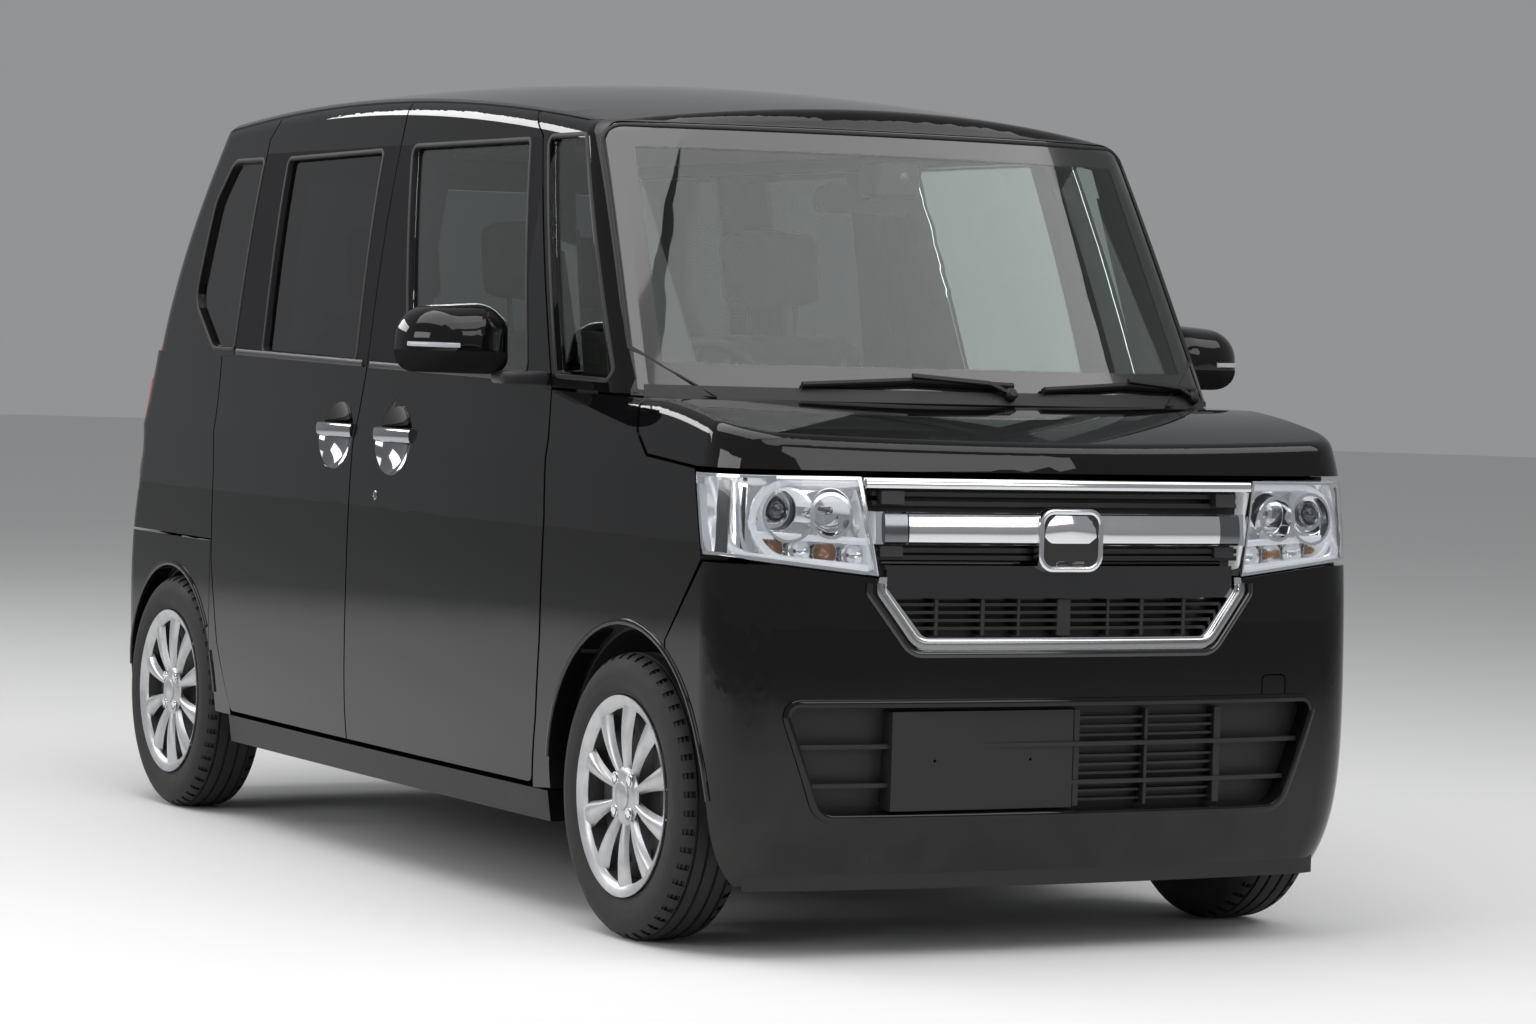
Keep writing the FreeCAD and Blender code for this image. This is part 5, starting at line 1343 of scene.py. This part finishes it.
gate_surface = surface_of("tailgate")
rear_glass_surface = surface_of("tailgate_glass", "tailgate")
rear_bumper_surface = surface_of("rear_bumper")
tail_lamp_surface = surface_of("tail_lamps")
REAR_WINDOW = mirrored_line([(0.500, 1.110, 0.030), (0.470, 1.520, 0.040)])
GARNISH = [(0.420, 0.995)]
REAR_LIP = [(0.560, 0.300)]
LAMP_RING = [(0.600, 0.885, 0.022), (0.600, 1.190, 0.022), (0.674, 1.190, 0.022), (0.690, 0.885, 0.022)]
REAR_WIPER_CAP = [(0.0, 0.016), (0.014, 0.014), (0.020, 0.006), (0.021, -0.014), (0.0, -0.014)]
REAR_BLADE = [(-0.04, 1.150), (-0.13, 1.178), (-0.22, 1.205), (-0.31, 1.232)]


def gate_piece(name, shape, finish):
    return piece(name, shape, finish, "tailgate")


window_line = rear_line(gate_surface, spread(rounded(REAR_WINDOW, True), 0.0075))
gate_piece("rear_window_seal", rail(window_line, crowned(0.012, 0.003), True), "rubber_black")
garnish_line = rear_line(gate_surface, rounded(mirrored_line(GARNISH)))
gate_piece("tailgate_garnish", rail(garnish_line, crowned(0.034, 0.014)), "chrome")
handle_line = rear_line(gate_surface, [(0.09, 0.965), (-0.09, 0.965)])
gate_piece("tailgate_handle", rail(handle_line, squared(0.018, 0.008)), "grained_black")
stop_line = rear_line(gate_surface, [(y / 100, 1.560) for y in range(14, -15, -4)])
gate_piece("stop_lamp", rail(stop_line, crowned(0.020, 0.006)), "lens_red")
pivot = rear_line(gate_surface, [(0.0, 1.085)], -0.012)
arm = pivot + rear_line(rear_glass_surface, [(-0.10, 1.150), (-0.22, 1.205)], -0.022)
arm_bar = rail(arm, squared(0.011, 0.004, 0.004))
blade_bar = rail(rear_line(rear_glass_surface, REAR_BLADE, -0.009), squared(0.010, 0.009, 0.006, 0.003))
cap = set_on(turned(REAR_WIPER_CAP, 24), pivot[0])
gate_piece("rear_wiper", merge([arm_bar, blade_bar, cap]), "rubber_black")
lights = [box((-1.650, k * 0.085 - 0.022, 0.944), (-1.640, k * 0.085 + 0.022, 0.953), 0.003) for k in (1, -1)]
gate_piece("plate_lights", merge(lights), "lens_white")

rear_step = rear_line(rear_bumper_surface, rounded(mirrored_line([(0.545, 0.618)])))
piece("rear_step_pad", rail(rear_step, squared(0.020, 0.003)), "grained_black")
lower_line = rear_line(rear_bumper_surface, rounded(mirrored_line(REAR_LIP)))
piece("rear_bumper_lower", rail(lower_line, squared(0.110, 0.003)), "grained_black")
for side, way in SIDES.items():
    reflector = rear_line(rear_bumper_surface, flipped(rounded([(0.470, 0.420), (0.610, 0.420)]), way))
    piece("rear_reflector_" + side, rail(reflector, crowned(0.034, 0.005)), "lens_red")
    ring = rear_line(tail_lamp_surface, flipped(rounded(LAMP_RING, True), way))
    piece("tail_lamp_ring_" + side, rail(ring, crowned(0.011, 0.003), True), "guide_red")
    low = rear_line(tail_lamp_surface, flipped(rounded([(0.590, 0.815), (0.700, 0.815)], spacing=0.01), way))
    piece("reverse_lamp_" + side, rail(low, crowned(0.070, 0.003)), "lens_white")

# Stage

FLOOR_RADIUS = 45
WORLD_COLOUR, WORLD_STRENGTH = (0.80, 0.82, 0.84, 1), 0.36


def add_stage():
    shape = bmesh.new()
    bmesh.ops.create_circle(shape, cap_ends=True, segments=96, radius=FLOOR_RADIUS)
    floor = as_object("floor", shape)
    finish = Finish("floor_pale", Roughness=0.7, Base_Color=(0.80, 0.80, 0.79))
    floor.data.materials.append(finish.material)
    world = bpy.data.worlds.new("studio")
    world.use_nodes = True
    bpy.context.scene.world = world
    background = world.node_tree.nodes["Background"]
    background.inputs["Color"].default_value = WORLD_COLOUR
    background.inputs["Strength"].default_value = WORLD_STRENGTH
    add_lamp("top_softbox", (0.5, -1.5, 5.5), (0, 0, 0.8), (6.0, 5.0), 240)
    add_lamp("side_softbox", (2.0, -8.5, 3.2), (0, 0, 0.8), (7.0, 2.0), 190)
    add_lamp("shoulder_softbox", (-7.5, -5.5, 4.6), (0, -0.6, 0.9), (6.0, 2.0), 240)
    add_lamp("screen_softbox", (5.4, 2.6, 7.2), (1.0, 0, 1.3), (11.5, 4.5), 350)
    add_lamp("front_softbox", (9.0, 3.0, 3.5), (1.0, 0, 0.8), (3.0, 2.5), 60)


bpy.context.scene.view_settings.view_transform = "Standard"
add_camera()
add_stage()
